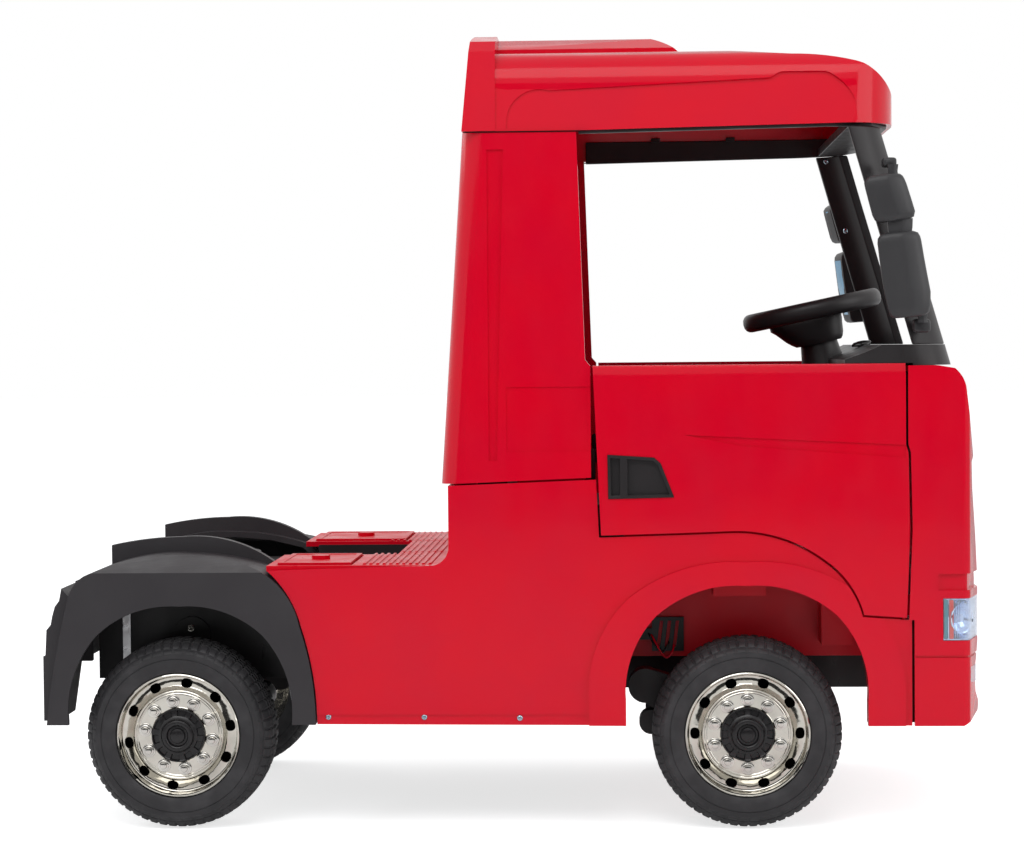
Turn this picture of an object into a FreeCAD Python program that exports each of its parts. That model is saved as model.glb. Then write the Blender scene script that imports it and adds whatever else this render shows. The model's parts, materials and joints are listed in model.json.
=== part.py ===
# Ride-on electric toy truck: a short four-wheel tractor unit with a cab that a child sits in.
# Millimetres. +X is forward, +Y is the truck's left, +Z is up.
# The origin is on the ground under the middle of the overall length.
import FreeCAD, Part
import math
import os

V = FreeCAD.Vector
os.makedirs("parts", exist_ok=True)

# Overall sizes
length = 1280.0
front_x = length / 2
rear_x = -length / 2
half_width = 320.0
wheelbase = 780.0
front_overhang = 317.0
front_axle_x = front_x - front_overhang
rear_axle_x = front_axle_x - wheelbase

# Walls and clearances
wall = 8.0
thin_wall = 5.0
panel_gap = 3.0
seam_gap = 2.0
seat_gap = 0.3
sink = 1.0
overrun = 20.0

# Heights of the main lines of the body
skirt_z = 148.0
chin_z = 145.0
deck_z = 364.0
waist_back_z = 474.0
waist_front_z = 482.0
waist_z = 478.0
belt_z = 633.0
cowl_z = 658.0
eaves_z = 951.0
roof_z = 1069.0
hump_z = 1089.0

# Panels at the side of the body
side_y = half_width - 5.0
side_inner_y = side_y - wall - seat_gap
arch_lip = 26.0
arch_lip_wall = 6.0
flange_height = 13.0
flange_step = 2.0

# Front wheel arch, a curve a little squarer than an ellipse
arch_half_length = 163.0
arch_height = 157.0
arch_centre_z = 178.0
arch_power = 2.35
arch_arcs = 4
flare_side = 50.0
flare_top = 32.0
arch_setback = 2.0
front_arch_x = front_axle_x - arch_setback

# Rear fenders
fender_length = 376.0
fender_height = 210.0
fender_crown = 20.0
fender_fit = 1.8
fender_inner_y = half_width - 144.0
fender_top_share = 0.822
rear_arch_half = 153.5
rear_arch_x = rear_x + 190.5
rear_arch_base = skirt_z + thin_wall
rear_face_x = rear_x + 17.0

# Deck behind the cab
tray_front_x = rear_x + 472.0
tray_half_width = half_width - 198.0
tray_depth = 26.0
tray_floor_z = deck_z - tray_depth
deck_back_x = rear_x + fender_top_share * fender_length
pad_back_x = rear_x + 440.0
pad_margin = 14.0
cover_length_right = 100.0
cover_length_left = 138.0
coupling_x = rear_axle_x
coupling_r = 74.0
coupling_thickness = 10.0
coupling_foot = 12.0
kingpin_hole_r = 11.0

# Cab
cab_back_x = rear_x + 549.0
lower_back_x = rear_x + 559.0
cab_back_lean = 31.0
cab_half_width_low = half_width - 4.0
cab_half_width_top = half_width - 15.0
cab_back_radius = 34.0
cab_wall = 12.0
screen_x_low = front_x + 8.0
screen_x_top = front_x - 128.0
screen_radius = 70.0
window_back_x = rear_x + 746.0
window_lean = 10.0

# Roof
roof_half_width = half_width - 14.0
roof_front_x = front_x - 112.0
roof_back_x = rear_x + 582.0
roof_corner_radius = 92.0
roof_wall = 7.0
roof_lean = 8.0
roof_shoulder = 62.0
roof_bow = 9.0
roof_flat_half = 110.0
eaves_rise = 9.0
strip_front_x = roof_back_x + 45.0
strip_z = roof_z + 5.0
hump_half_width = half_width - 94.0
hump_front_x = roof_back_x + 294.0
frame_drop = 4.0
frame_height = 30.0
frame_wall = 12.0

# Fascia
fascia_x = front_x - 94.0
corner_reach = 64.0
front_bow = 1.0
front_flat_half = 110.0
lamp_low_z = 260.0
lamp_height = 57.0
lamp_back_x = front_x - 56.0
lamp_inner_y = half_width - 155.0
fog_inner_y = half_width - 140.0
fog_width = 62.0
fog_low_z = 199.0
fog_height = 26.0
grille_half_width = half_width - 115.0
grille_low_z = 341.0
grille_height = 190.0
intake_half_width = half_width - 170.0
intake_low_z = 175.0
intake_height = 70.0

# Door and mirror
door_back_x = rear_x + 756.0
door_length = 425.0
door_bottom_z = 291.0
door_height = belt_z - door_bottom_z
door_thickness = 18.0
door_face_y = half_width - sink
door_lap = 25.0
hinge_x = door_back_x + 417.0
hinge_y = half_width - 12.0
pin_r = 3.0
pin_length = 7.0
hinge_r = 12.0
hinge_clear = 0.8
handle_pocket = 9.0
handle_x = door_back_x + 19.0
handle_z = 453.0
handle_length = 90.0
handle_height = 60.0
mirror_out_y = cab_half_width_top + 58.0
mirror_depth = 42.0
mirror_x = screen_x_top - 7.0
mirror_upper_x = screen_x_top - 24.0
mirror_low_z = 703.0
mirror_low_height = 106.0
mirror_upper_z = 818.0
mirror_upper_height = 66.0
mirror_upper_length = 54.0
mirror_upper_lap_share = 0.04

# Floor, tub and spine
well_half = half_width - 178.0
well_z = 219.0
well_back_x = rear_x + 660.0
tub_front_x = front_axle_x - 175.0
tub_back_x = rear_axle_x + 199.0
tub_low_z = 131.0
tub_keel_half = half_width - 130.0
spine_half = 60.0
spine_front_x = front_axle_x + 197.0
box_half = half_width - 150.0
box_top_z = tray_floor_z - thin_wall - seat_gap

# Wheels
tyre_r = 130.0
tyre_width = 98.0
tyre_face_y = half_width - 20.0
wheel_y = tyre_face_y - tyre_width / 2
tyre_bead_r = 85.0
rim_fit = 0.2
hub_face_in = 12.0
axle_r = 6.0
axle_end_in = 14.0
running_fit = 0.05

# Steering
kingpin_y = half_width - 136.0
kingpin_r = 5.0
fork_height = 34.0
fork_ear = 8.0
fork_half = 15.0
fork_reach = 14.0
arm_length = 52.0
tie_pin_r = 3.5
tie_rod_drop = 33.0
tie_rod_z = tyre_r - tie_rod_drop
steering_x = front_axle_x + 110.0
steering_z = 710.0
steering_tilt = 11.8
steering_r = 91.5
steering_rim_r = 11.0
steering_hub_depth = 22.0

# Outlines in shares of their own length and height
fender_front_shares = [(0.982, 0.37), (0.944, 0.638), (0.896, 0.842), (fender_top_share, 1.0)]
door_curve_shares = [(0.593, 0.318), (0.732, 0.228), (0.805, 0.14), (0.854, 0.012)]
door_shares = [(0.0, 1.0), (0.0235, 0.33), (0.2965, 0.339), (0.433, 0.345), door_curve_shares, (0.988, 0.0),
               (1.0, 0.354), (0.995, 0.649), (0.987, 0.681), (0.987, 1.0)]
arc_share = 1 - math.sqrt(0.5)


# Helpers for outlines and prisms

def in_frame(x0, z0, dx, dz, shares):
    """Places shares of a frame's length and height; a list inside is a run of arcs."""
    placed = []
    for item in shares:
        if isinstance(item, list):
            placed.append([(x0 + a * dx, z0 + b * dz) for a, b in item])
        else:
            placed.append((x0 + item[0] * dx, z0 + item[1] * dz))
    return placed


def wire_of(items, lift):
    """Closed wire of points; a list inside is a run of arcs, each a point passed and an end."""
    edges = []
    start = lift(*items[0])
    here = start
    for item in items[1:]:
        if isinstance(item, list):
            for passed, end in zip(item[::2], item[1::2]):
                edges.append(Part.Arc(here, lift(*passed), lift(*end)).toShape())
                here = lift(*end)
        else:
            there = lift(*item)
            edges.append(Part.makeLine(here, there))
            here = there
    if here.distanceToPoint(start) > Part.Precision.confusion():
        edges.append(Part.makeLine(here, start))
    return Part.Wire(edges)


def chords(items):
    """The same outline with each arc as its chords, for hollows that are never seen closely."""
    flat = []
    for item in items:
        flat.extend(item if isinstance(item, list) else [item])
    return flat


def side_prism(items, y0, y1):
    face = Part.Face(wire_of(items, lambda x, z: V(x, y0, z)))
    return face.extrude(V(0, y1 - y0, 0))


def plan_prism(items, z0, z1):
    face = Part.Face(wire_of(items, lambda x, y: V(x, y, z0)))
    return face.extrude(V(0, 0, z1 - z0))


def front_prism(items, x0, x1):
    face = Part.Face(wire_of(items, lambda y, z: V(x0, y, z)))
    return face.extrude(V(x1 - x0, 0, 0))


def block(x0, x1, y0, y1, z0, z1):
    return Part.makeBox(x1 - x0, abs(y1 - y0), z1 - z0, V(x0, min(y0, y1), z0))


def rod(start, end, radius):
    axis = end - start
    return Part.makeCylinder(radius, axis.Length, start, axis)


def turned(profile, centre, axis=V(0, 1, 0)):
    """Revolves (radius, along) points about the axis through the centre."""
    face = Part.Face(wire_of(profile, lambda r, a: V(r, 0, a)))
    solid = face.revolve(V(0, 0, 0), V(0, 0, 1), 360)
    solid.Placement = FreeCAD.Placement(centre, FreeCAD.Rotation(V(0, 0, 1), axis))
    return solid


def mirrored(shape):
    return shape.mirror(V(0, 0, 0), V(0, 1, 0))


def fused(shapes):
    """One solid of several, with seams between flush faces taken out where that leaves it sound."""
    whole = shapes[0].multiFuse(shapes[1:])
    tidy = whole.removeSplitter()
    return tidy if tidy.isValid() else whole


def grown(items, distance):
    """The outline with every point moved out along its corner's mitre; a minus distance shrinks it."""
    flat = chords(items)
    pairs = list(zip(flat, flat[1:] + flat[:1]))
    area = sum(a[0] * b[1] - b[0] * a[1] for a, b in pairs)
    turn = math.copysign(1.0, area)
    normals = []
    for (ax, az), (bx, bz) in pairs:
        reach = math.hypot(bx - ax, bz - az)
        normals.append((turn * (bz - az) / reach, turn * (ax - bx) / reach))
    moved = []
    for (x, z), before, after in zip(flat, normals[-1:] + normals[:-1], normals):
        scale = distance / (1 + before[0] * after[0] + before[1] * after[1])
        moved.append((x + scale * (before[0] + after[0]), z + scale * (before[1] + after[1])))
    placed = []
    for item in items:
        count = len(item) if isinstance(item, list) else 1
        placed.append(moved[:count] if isinstance(item, list) else moved[0])
        moved = moved[count:]
    return placed


def save(name, *shapes):
    solids = [solid for shape in shapes for solid in shape.Solids]
    whole = solids[0] if len(solids) == 1 else Part.Compound(solids)
    if not whole.isValid():
        raise ValueError(name + " is not a valid solid")
    whole.exportStep("parts/" + name + ".step")


# Wheel openings, shared by the body side, the fenders and the floor

def arch_outline(centre_x, base_z, half_length, height, foot_z):
    """Wheel opening: a superellipse drawn as arcs over straight sides that reach down to its foot."""
    curve = []
    steps = 2 * arch_arcs
    for i in range(1, steps + 1):
        angle = math.pi * i / steps
        across = math.copysign(abs(math.cos(angle)) ** (2 / arch_power), math.cos(angle))
        up = abs(math.sin(angle)) ** (2 / arch_power)
        curve.append((centre_x + half_length * across, base_z + height * up))
    return [(centre_x + half_length, foot_z), (centre_x + half_length, base_z), curve,
            (centre_x - half_length, foot_z)]


def front_arch(margin_side, margin_top, y0, y1):
    """Prism of the front wheel opening, wider by the given margins."""
    outline = arch_outline(front_arch_x, arch_centre_z, arch_half_length + margin_side,
                           arch_height + margin_top, chin_z - 2 * overrun)
    return side_prism(outline, y0, y1)


def fender_front_curve():
    """The fender's front edge as the body side sees it, a little ahead of the fender."""
    return in_frame(rear_x + fender_fit, skirt_z, fender_length, fender_height, [fender_front_shares])[0]


def door_outline():
    return in_frame(door_back_x, door_bottom_z, door_length, door_height, door_shares)


def door_opening(y0, y1):
    return side_prism(grown(door_outline(), panel_gap), y0, y1)


# Lower body

def body_side_outline():
    deck_corner = 25.0
    front = fascia_x - panel_gap
    top = door_bottom_z - panel_gap
    lap_back = door_back_x + door_lap
    lap_front = door_back_x + door_length - door_lap / 2
    curve = fender_front_curve()
    down = [curve[2], curve[1], curve[0], (rear_x + fender_length + fender_fit, skirt_z)]
    bend = (lower_back_x - arc_share * deck_corner, deck_z + arc_share * deck_corner)
    return [(front, chin_z), (front, top), (lap_front, top), (lap_front, waist_z),
            (lap_back, waist_z), (lap_back, waist_front_z - seam_gap), (lower_back_x, waist_back_z - seam_gap),
            (lower_back_x, deck_z + deck_corner), [bend, (lower_back_x - deck_corner, deck_z)], curve[-1], down,
            (front_arch_x, skirt_z - panel_gap)]


def body_side():
    """Right lower panel with the wheel flare, the skirt flange and the stretch beside the deck."""
    outline = body_side_outline()
    outer = side_prism(outline, -side_y, -side_y + wall)
    flare = front_arch(flare_side, flare_top, -half_width, -side_y + wall)
    flare = flare.common(side_prism(outline, -half_width, -side_y + wall))
    lip = front_arch(arch_lip_wall, arch_lip_wall, -half_width, -half_width + arch_lip)
    lip = lip.common(block(rear_x, front_x, -half_width, 0, skirt_z, waist_z))
    panel = fused([outer, flare, lip])
    panel = panel.cut(front_arch(0, 0, -half_width - overrun, 0)).cut(door_opening(-half_width - overrun, 0))
    flare_back_x = front_arch_x - arch_half_length - flare_side
    flange = block(rear_x, flare_back_x, -half_width, -side_y + flange_step, 0, skirt_z + flange_height)
    return panel.cut(flange).fuse(lower_hinge_boss()).cut(hinge_hole(door_bottom_z))


def lower_hinge_boss():
    """Solid corner under the door's front end that carries its lower pin."""
    top = door_bottom_z - panel_gap
    boss_half = 3 * pin_r
    return block(hinge_x - boss_half, fascia_x - panel_gap, -side_y + thin_wall, -hinge_y + boss_half,
                 top - 3 * pin_length, top)


def hinge_hole(z, side=-1):
    """Hole for a hinge pin that crosses the gap at one end of the door."""
    depth = panel_gap + pin_length + seat_gap
    return rod(V(hinge_x, side * hinge_y, z - depth), V(hinge_x, side * hinge_y, z + depth), pin_r + running_fit)


def hinge_post(radius):
    """Upright rod about the right door's hinge line, as tall as the door."""
    return rod(V(hinge_x, -hinge_y, door_bottom_z - panel_gap), V(hinge_x, -hinge_y, belt_z + sink), radius)


def rear_deck():
    """Deck behind the cab: ribbed pad, an arm to each side of the tray and the wall below the cab."""
    rib_width = 4.0
    rib_pitch = 9.0
    rib_height = 2.0
    front = lower_back_x - seat_gap
    plate = block(deck_back_x, lower_back_x + wall, -side_inner_y, side_inner_y, deck_z - wall, deck_z)
    tray = block(deck_back_x - overrun, tray_front_x, -tray_half_width, tray_half_width, 0, deck_z + overrun)
    upstand = block(lower_back_x, lower_back_x + wall, -side_inner_y, side_inner_y, deck_z - wall,
                    waist_back_z - seam_gap)
    pieces = [plate, upstand]
    count = int((front - pad_margin - pad_back_x) / rib_pitch)
    segments = 3
    reach = (2 * (side_inner_y - pad_margin) + rib_pitch) / segments
    for row in range(count):
        x = pad_back_x + row * rib_pitch
        for segment in range(segments):
            y = -side_inner_y + pad_margin + segment * reach
            pieces.append(block(x, x + rib_width, y, y + reach - rib_pitch, deck_z - sink, deck_z + rib_height))
    deck = fused(pieces).cut(tray)
    for cover in cover_boxes(seam_gap):
        deck = deck.cut(cover)
    return deck


def cover_boxes(extra):
    """Boxes of the two covers beside the tray, grown by the given clearance."""
    boxes = []
    back = deck_back_x + pad_margin
    for side, cover_length in ((-1, cover_length_right), (1, cover_length_left)):
        inner = side * (tray_half_width + pad_margin - extra)
        outer = side * (side_inner_y - pad_margin + extra)
        boxes.append(block(back - extra, back + cover_length + extra, inner, outer,
                           deck_z - thin_wall, deck_z + overrun))
    return boxes


def deck_covers():
    """Cover plates with a raised border and a round turn knob each."""
    knob_r = 13.0
    knob_height = 4.0
    cover_top = 3.0
    border = 7.0
    covers = []
    for outline in cover_boxes(0):
        box = outline.BoundBox
        cover = block(box.XMin, box.XMax, box.YMin, box.YMax, box.ZMin + seat_gap, deck_z + cover_top)
        cover = cover.cut(block(box.XMin + border, box.XMax - border, box.YMin + border, box.YMax - border,
                                deck_z + cover_top - sink, deck_z + overrun))
        knob = rod(V(box.Center.x, box.Center.y, deck_z), V(box.Center.x, box.Center.y, deck_z + cover_top
                   + knob_height), knob_r)
        covers.append(fused([cover, knob]))
    return covers


def deck_insert():
    """Black tray between the deck's arms and the fenders, with its release lever and ridges."""
    back_share = 0.12
    wing_share = 0.80
    ridge_shares = (-0.55, -0.18, 0.18, 0.55)
    lever_share = 0.30
    front = tray_front_x - seat_gap
    back = rear_x + back_share * fender_length
    half = tray_half_width - seat_gap
    low = tray_floor_z - thin_wall
    floor = block(back, front, -half, half, low, tray_floor_z)
    rim = block(deck_back_x + overrun, front, -half, half, low, deck_z - thin_wall)
    hollow = block(back, front - thin_wall, -half + thin_wall, half - thin_wall, tray_floor_z, deck_z)
    wings = block(back, rear_x + wing_share * fender_length, -fender_inner_y + panel_gap,
                  fender_inner_y - panel_gap, low, tray_floor_z)
    pieces = [floor, rim.cut(hollow), wings]
    ridge_back = coupling_x + coupling_r + overrun
    for share in ridge_shares:
        pieces.append(block(ridge_back, front - overrun, share * half - thin_wall, share * half + thin_wall,
                            low, tray_floor_z + thin_wall))
    lever_y = lever_share * half
    lever = [(ridge_back, -lever_y - wall), (front - 2 * overrun, lever_y - wall), (front - 2 * overrun, lever_y + wall),
             (ridge_back, -lever_y + wall)]
    pieces.append(plan_prism(lever, low, tray_floor_z + wall))
    return fused(pieces)


def coupling_plate():
    """Round coupling plate with a sloped throat to the rear and a hole for a trailer's pin."""
    foot_share = 0.6
    foot_z = tray_floor_z + coupling_foot
    top = foot_z + coupling_thickness
    plate = Part.makeCylinder(coupling_r, coupling_thickness, V(coupling_x, 0, foot_z))
    mouth_x = coupling_x - coupling_r - overrun
    throat_x = coupling_x - 2 * kingpin_hole_r
    throat = plan_prism([(throat_x, -kingpin_hole_r / 2), (throat_x, kingpin_hole_r / 2),
                         (mouth_x, 3 * kingpin_hole_r), (mouth_x, -3 * kingpin_hole_r)], tray_floor_z, top + overrun)
    pieces = [plate.cut(throat)]
    for side in (-1, 1):
        y = side * foot_share * coupling_r
        pieces.append(block(coupling_x - coupling_foot, coupling_x + coupling_foot, y - coupling_foot,
                            y + coupling_foot, tray_floor_z + seat_gap, top - coupling_thickness / 2))
    hole = Part.makeCylinder(kingpin_hole_r, 2 * (top - tray_floor_z), V(coupling_x, 0, tray_floor_z))
    return fused(pieces).cut(hole)


# Rear fenders

def fender_volume(inset, reach):
    """Crowned volume of the right fender: its side outline meets a cross-section with a sloped shoulder."""
    crown_shares = [(0.66, 1.06), (0.51, 1.085), (0.31, 1.06), (0.16, 0.97)]
    back_shares = [(0.12, 0.90), (0.098, 0.80), (0.0585, 0.48), (0.0186, 0.0)]
    shoulder_y = half_width - 62.0
    shoulder_z = skirt_z + fender_height
    notch = 2.0
    outline = in_frame(rear_x, skirt_z, fender_length, fender_height,
                       [(1.0, 0.0), fender_front_shares[:-1] + [(0.80, 1.0)], crown_shares, back_shares])
    if inset:
        outline = chords(outline)
        outline = [(outline[0][0], skirt_z - overrun)] + outline + [(outline[-1][0], skirt_z - overrun)]
    side = side_prism(grown(outline, -inset), -half_width + inset, -fender_inner_y + reach)
    top = shoulder_z + fender_crown - inset
    low = skirt_z - overrun
    section = [(-half_width, low), (-half_width, shoulder_z - seam_gap - inset), (-shoulder_y - notch, top - notch),
               (-shoulder_y, top - 2 * notch), (-shoulder_y + notch, top), (-fender_inner_y + reach, top + notch),
               (-fender_inner_y + reach, low)]
    if inset:
        section = section[:2] + [(-shoulder_y, top - 2 * notch)] + section[-2:]
    return side.common(front_prism(section, rear_x - overrun, front_axle_x))


def fender():
    """Right rear fender: crowned shell with a raised inner lip and a stepped band at the back."""
    lip_width = 15.0
    lip_outer_y = 212.0
    lip_shares = [(0.207, 0.98), (0.207, 1.133), [(0.34, 1.172), (0.47, 1.186), (0.64, 1.165), (0.815, 1.02)],
                  (0.815, 0.96)]
    band_shares = [(0.07, 0.886), (0.061, 0.805), (0.045, 0.767), (0.035, 0.705), (0.029, 0.648), (0.013, 0.614),
                   (0.008, 0.443), (0.0, 0.443), (0.0, 0.02), (0.027, 0.02), (0.05, 0.348), (0.075, 0.595),
                   (0.11, 0.80)]
    outer = fender_volume(0, 0)
    inner = fender_volume(wall, overrun)
    below = block(rear_x - overrun, front_axle_x, -half_width + wall, 0, 0, skirt_z + seat_gap)
    shell = outer.cut(inner).cut(below)
    opening = arch_outline(rear_arch_x, rear_arch_base, rear_arch_half, arch_height, 0)
    shell = shell.cut(side_prism(opening, -half_width - overrun, -half_width + 2 * wall))
    lip = side_prism(in_frame(rear_x, skirt_z, fender_length, fender_height, lip_shares),
                     -lip_outer_y, -lip_outer_y + lip_width)
    band = side_prism(in_frame(rear_x, skirt_z, fender_length, fender_height, band_shares),
                      -half_width + 3 * thin_wall, -fender_inner_y - lip_width)
    return fused([shell, lip.cut(inner), band.cut(inner)])


def rear_panel_heights():
    lower_share = 0.62
    top = box_top_z
    return lower_share * skirt_z + (1 - lower_share) * top, top


def rear_panel():
    """Panel between the fenders at the back with a bare plate recess and a return at each side."""
    plate_half_share = 0.33
    recess = 2.0
    bottom, top = rear_panel_heights()
    half = fender_inner_y - seat_gap
    panel = block(rear_face_x, rear_face_x + wall, -half, half, bottom, top)
    plate = block(rear_face_x - overrun, rear_face_x + recess, -plate_half_share * half, plate_half_share * half,
                  bottom + wall / 2, bottom + 5 * wall)
    returns = [block(rear_face_x, rear_face_x + 3 * wall, side * half, side * (half - wall), bottom, top)
               for side in (-1, 1)]
    return fused([panel.cut(plate)] + returns)


def tail_lamps():
    """Tail lamps on the rear panel, each a lens with a bevelled edge."""
    inner_share = 0.50
    outer_share = 0.93
    low_share = 0.35
    high_share = 0.80
    bevel = 3.0
    bottom, top = rear_panel_heights()
    half = fender_inner_y - panel_gap
    lamps = []
    for side in (-1, 1):
        lamp = block(rear_face_x - wall, rear_face_x - seat_gap, side * inner_share * half,
                     side * outer_share * half, bottom + low_share * (top - bottom), bottom + high_share * (top - bottom))
        rear_edges = [e for e in lamp.Edges if e.BoundBox.XMax < rear_face_x - wall / 2]
        lamps.append(lamp.makeChamfer(bevel, rear_edges))
    return lamps


# Cab above the waist

def cab_block(inset, extra=0.0):
    """Leaning cab volume between waist and eaves with rounded uprights, taller by extra at both ends."""
    rise = eaves_z - waist_z
    past = extra / rise
    low, high = waist_z - extra, eaves_z + extra
    screen_lean = screen_x_low - screen_x_top
    side_lean = cab_half_width_low - cab_half_width_top
    back_low = cab_back_x - past * cab_back_lean + inset
    back_high = cab_back_x + (1 + past) * cab_back_lean + inset
    front_low = screen_x_low + past * screen_lean - inset
    front_high = screen_x_top - past * screen_lean - inset
    half_low = cab_half_width_low + past * side_lean - inset
    half_high = cab_half_width_top - past * side_lean - inset
    side = side_prism([(back_low, low), (front_low, low), (front_high, high), (back_high, high)],
                      -half_width - overrun, half_width + overrun)
    cross = front_prism([(-half_low, low), (half_low, low), (half_high, high), (-half_high, high)],
                        rear_x, front_x + 2 * overrun)
    volume = side.common(cross)
    for radius, way in ((cab_back_radius, -1), (screen_radius, 1)):
        uprights = [e for e in volume.Edges if e.BoundBox.ZLength > rise / 2 and way * e.CenterOfMass.x > 0]
        volume = volume.makeFillet(radius - inset, uprights)
    return volume


def cab_skin():
    return cab_block(0, overrun).cut(cab_block(cab_wall, 2 * overrun))


def cab_side_slab(depth):
    """Everything outside a plane that lies the given depth inside the cab's leaning right side."""
    outer = -half_width - overrun
    return front_prism([(-cab_half_width_low + depth, waist_z), (-cab_half_width_top + depth, eaves_z),
                        (outer, eaves_z), (outer, waist_z)], rear_x, front_x)


def cab_side_relief():
    """Tapered groove and sunk panel in the cab's right rear quarter."""
    groove_depth = 2.5
    panel_depth = 1.5
    groove_back_x = cab_back_x + 66.0
    groove_low_x = groove_back_x + 11.0
    groove_high_x = groove_back_x + 22.0
    groove_low_z = waist_z + 28.0
    groove_high_z = eaves_z - 25.0
    panel_back_x = groove_high_x + 2.0
    panel_low_z = waist_z + 40.0
    panel_high_z = waist_z + 127.0
    groove = side_prism([(groove_back_x, groove_low_z), (groove_low_x, groove_low_z), (groove_high_x, groove_high_z),
                         (groove_back_x, groove_high_z)], -half_width - overrun, 0)
    panel = block(panel_back_x, door_back_x - panel_gap, -half_width - overrun, 0, panel_low_z, panel_high_z)
    return [groove.common(cab_side_slab(groove_depth)), panel.common(cab_side_slab(panel_depth))]


def cab_rear_shell():
    """Back wall and both rear quarters of the cab in one U-shaped moulding."""
    back = cab_back_x - 2 * overrun
    edge = side_prism([(back, waist_back_z), (cab_back_x, waist_back_z), (door_back_x - panel_gap, waist_front_z),
                       (door_back_x - panel_gap, belt_z), (window_back_x, belt_z + wall),
                       (window_back_x - window_lean, eaves_z), (back, eaves_z)], -half_width, half_width)
    shell = cab_skin().common(edge)
    for relief in cab_side_relief():
        shell = shell.cut(relief).cut(mirrored(relief))
    return shell


def a_pillars():
    """Windscreen pillars, each wrapping from the side round to the front."""
    pillar_width = 50.0
    pillar_wrap = 48.0
    lean = (screen_x_low - screen_x_top) / (eaves_z - waist_z)
    z0 = cowl_z + seat_gap
    z1 = eaves_z + eaves_rise
    back_low = screen_x_low - pillar_width - lean * (z0 - waist_z)
    back_high = screen_x_low - pillar_width - lean * (z1 - waist_z)
    side = side_prism([(back_low, z0), (front_x + overrun, z0), (front_x + overrun, z1), (back_high, z1)],
                      -half_width, half_width)
    middle = block(cab_back_x, front_x + overrun, -cab_half_width_top + pillar_wrap,
                   cab_half_width_top - pillar_wrap, 0, hump_z)
    return cab_skin().common(side).cut(middle).common(under_eaves(frame_drop + seat_gap))


# Roof

def under_eaves(drop):
    """Everything below the roof's edge, which rises toward the front; lowered by a drop."""
    line = [(rear_x, eaves_z - drop), (window_back_x, eaves_z - drop), (front_x, eaves_z + eaves_rise - drop)]
    return side_prism(line + [(front_x, 0), (rear_x, 0)], -half_width - overrun, half_width + overrun)


def nose_plan(half, front, back, radius, bow, flat_half):
    """Plan outline with rounded front corners and a front of three flats."""
    bend = (front - arc_share * radius, half - arc_share * radius)
    return [(back, -half), (front - radius, -half), [(bend[0], -bend[1]), (front, -half + radius)],
            (front + bow, -flat_half), (front + bow, flat_half), (front, half - radius),
            [bend, (front - radius, half)], (back, half)]


def roof_plan(inset):
    return nose_plan(roof_half_width - inset, roof_front_x - inset, roof_back_x - 2 * overrun,
                     roof_corner_radius - inset, roof_bow, roof_flat_half)


def roof_section(inset):
    """Cross-section of the roof: leaning sides, rounded shoulders and a low crown."""
    shoulder_out_share = 0.28
    shoulder_in_share = 0.42
    crown_share = 0.16
    half = roof_half_width - inset
    top = roof_z - inset
    brow = half - roof_lean
    crown_z = top - crown_share * roof_shoulder
    bend_y = half - shoulder_out_share * roof_shoulder
    bend_z = top - shoulder_in_share * roof_shoulder
    return [(-half, eaves_z - overrun), (half, eaves_z - overrun), (brow, top - roof_shoulder),
            [(bend_y, bend_z), (half - roof_shoulder, crown_z)], (0, top), (-half + roof_shoulder, crown_z),
            [(-bend_y, bend_z), (-brow, top - roof_shoulder)]]


def roof_volume(inset):
    """Roof volume reaching below the eaves: side outline, cross-section and plan together."""
    front_shares = [(1.008, 0.30), (0.985, 0.50), (0.952, 0.655), (0.905, 0.765)]
    brow_shares = [(0.85, 0.825), (0.76, 0.862), (0.66, 0.90), (0.52, 0.965)]
    side_shares = [(-0.0077, -0.3), (0.985, -0.3), (1.002, 0.05), (1.0145, 0.17), front_shares, brow_shares,
                   (0.40, 1.0), (0.02, 1.0)]
    outline = grown(in_frame(roof_back_x, eaves_z, roof_front_x - roof_back_x, roof_z - eaves_z, side_shares), -inset)
    section = roof_section(inset)
    if inset:
        outline = chords(outline)
        section = chords(section)
    side = side_prism(outline, -half_width, half_width)
    cross = front_prism(section, roof_back_x - 2 * overrun, roof_front_x + 2 * overrun)
    plan = plan_prism(roof_plan(inset), eaves_z - 2 * overrun, hump_z + overrun)
    return side.common(cross).common(plan)


def roof_hump():
    """Raised hump over the rear half of the roof."""
    edge_share = 0.85
    edge_drop_share = 0.2
    side_shares = [(0.10, -1.0), (1.0, -1.0), (1.0, -0.3), [(0.93, 0.45), (0.69, 0.85)], (0.22, 1.0), (0.10, 0.95)]
    rise = hump_z - roof_z
    edge_z = hump_z - edge_drop_share * rise
    edge_y = edge_share * hump_half_width
    side = side_prism(in_frame(roof_back_x, roof_z, hump_front_x - roof_back_x, rise, side_shares),
                      -half_width, half_width)
    cross = front_prism([(-hump_half_width, roof_z - 2 * roof_wall), (hump_half_width, roof_z - 2 * roof_wall),
                         (hump_half_width, roof_z), (edge_y, edge_z), (0, hump_z), (-edge_y, edge_z),
                         (-hump_half_width, roof_z)], roof_back_x, hump_front_x + overrun)
    return side.common(cross)


def roof_strip():
    """Full-width strip along the roof's back edge, as high as the hump and leaning with the back."""
    brow_drop = 15.0
    side = side_prism(in_frame(roof_back_x, eaves_z, strip_front_x - roof_back_x, hump_z - eaves_z,
                               [(-0.02, 0.0), (1.0, 0.0), (1.0, 1.0), (0.33, 1.0), (0.25, 0.95)]),
                      -half_width, half_width)
    brow = roof_half_width - roof_lean
    edge = brow - brow_drop
    section = [(-roof_half_width, eaves_z), (roof_half_width, eaves_z), (brow, strip_z - brow_drop), (edge, strip_z),
               (hump_half_width, hump_z - seam_gap), (-hump_half_width, hump_z - seam_gap), (-edge, strip_z),
               (-brow, strip_z - brow_drop)]
    return side.common(front_prism(section, roof_back_x - overrun, strip_front_x + overrun))


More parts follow.
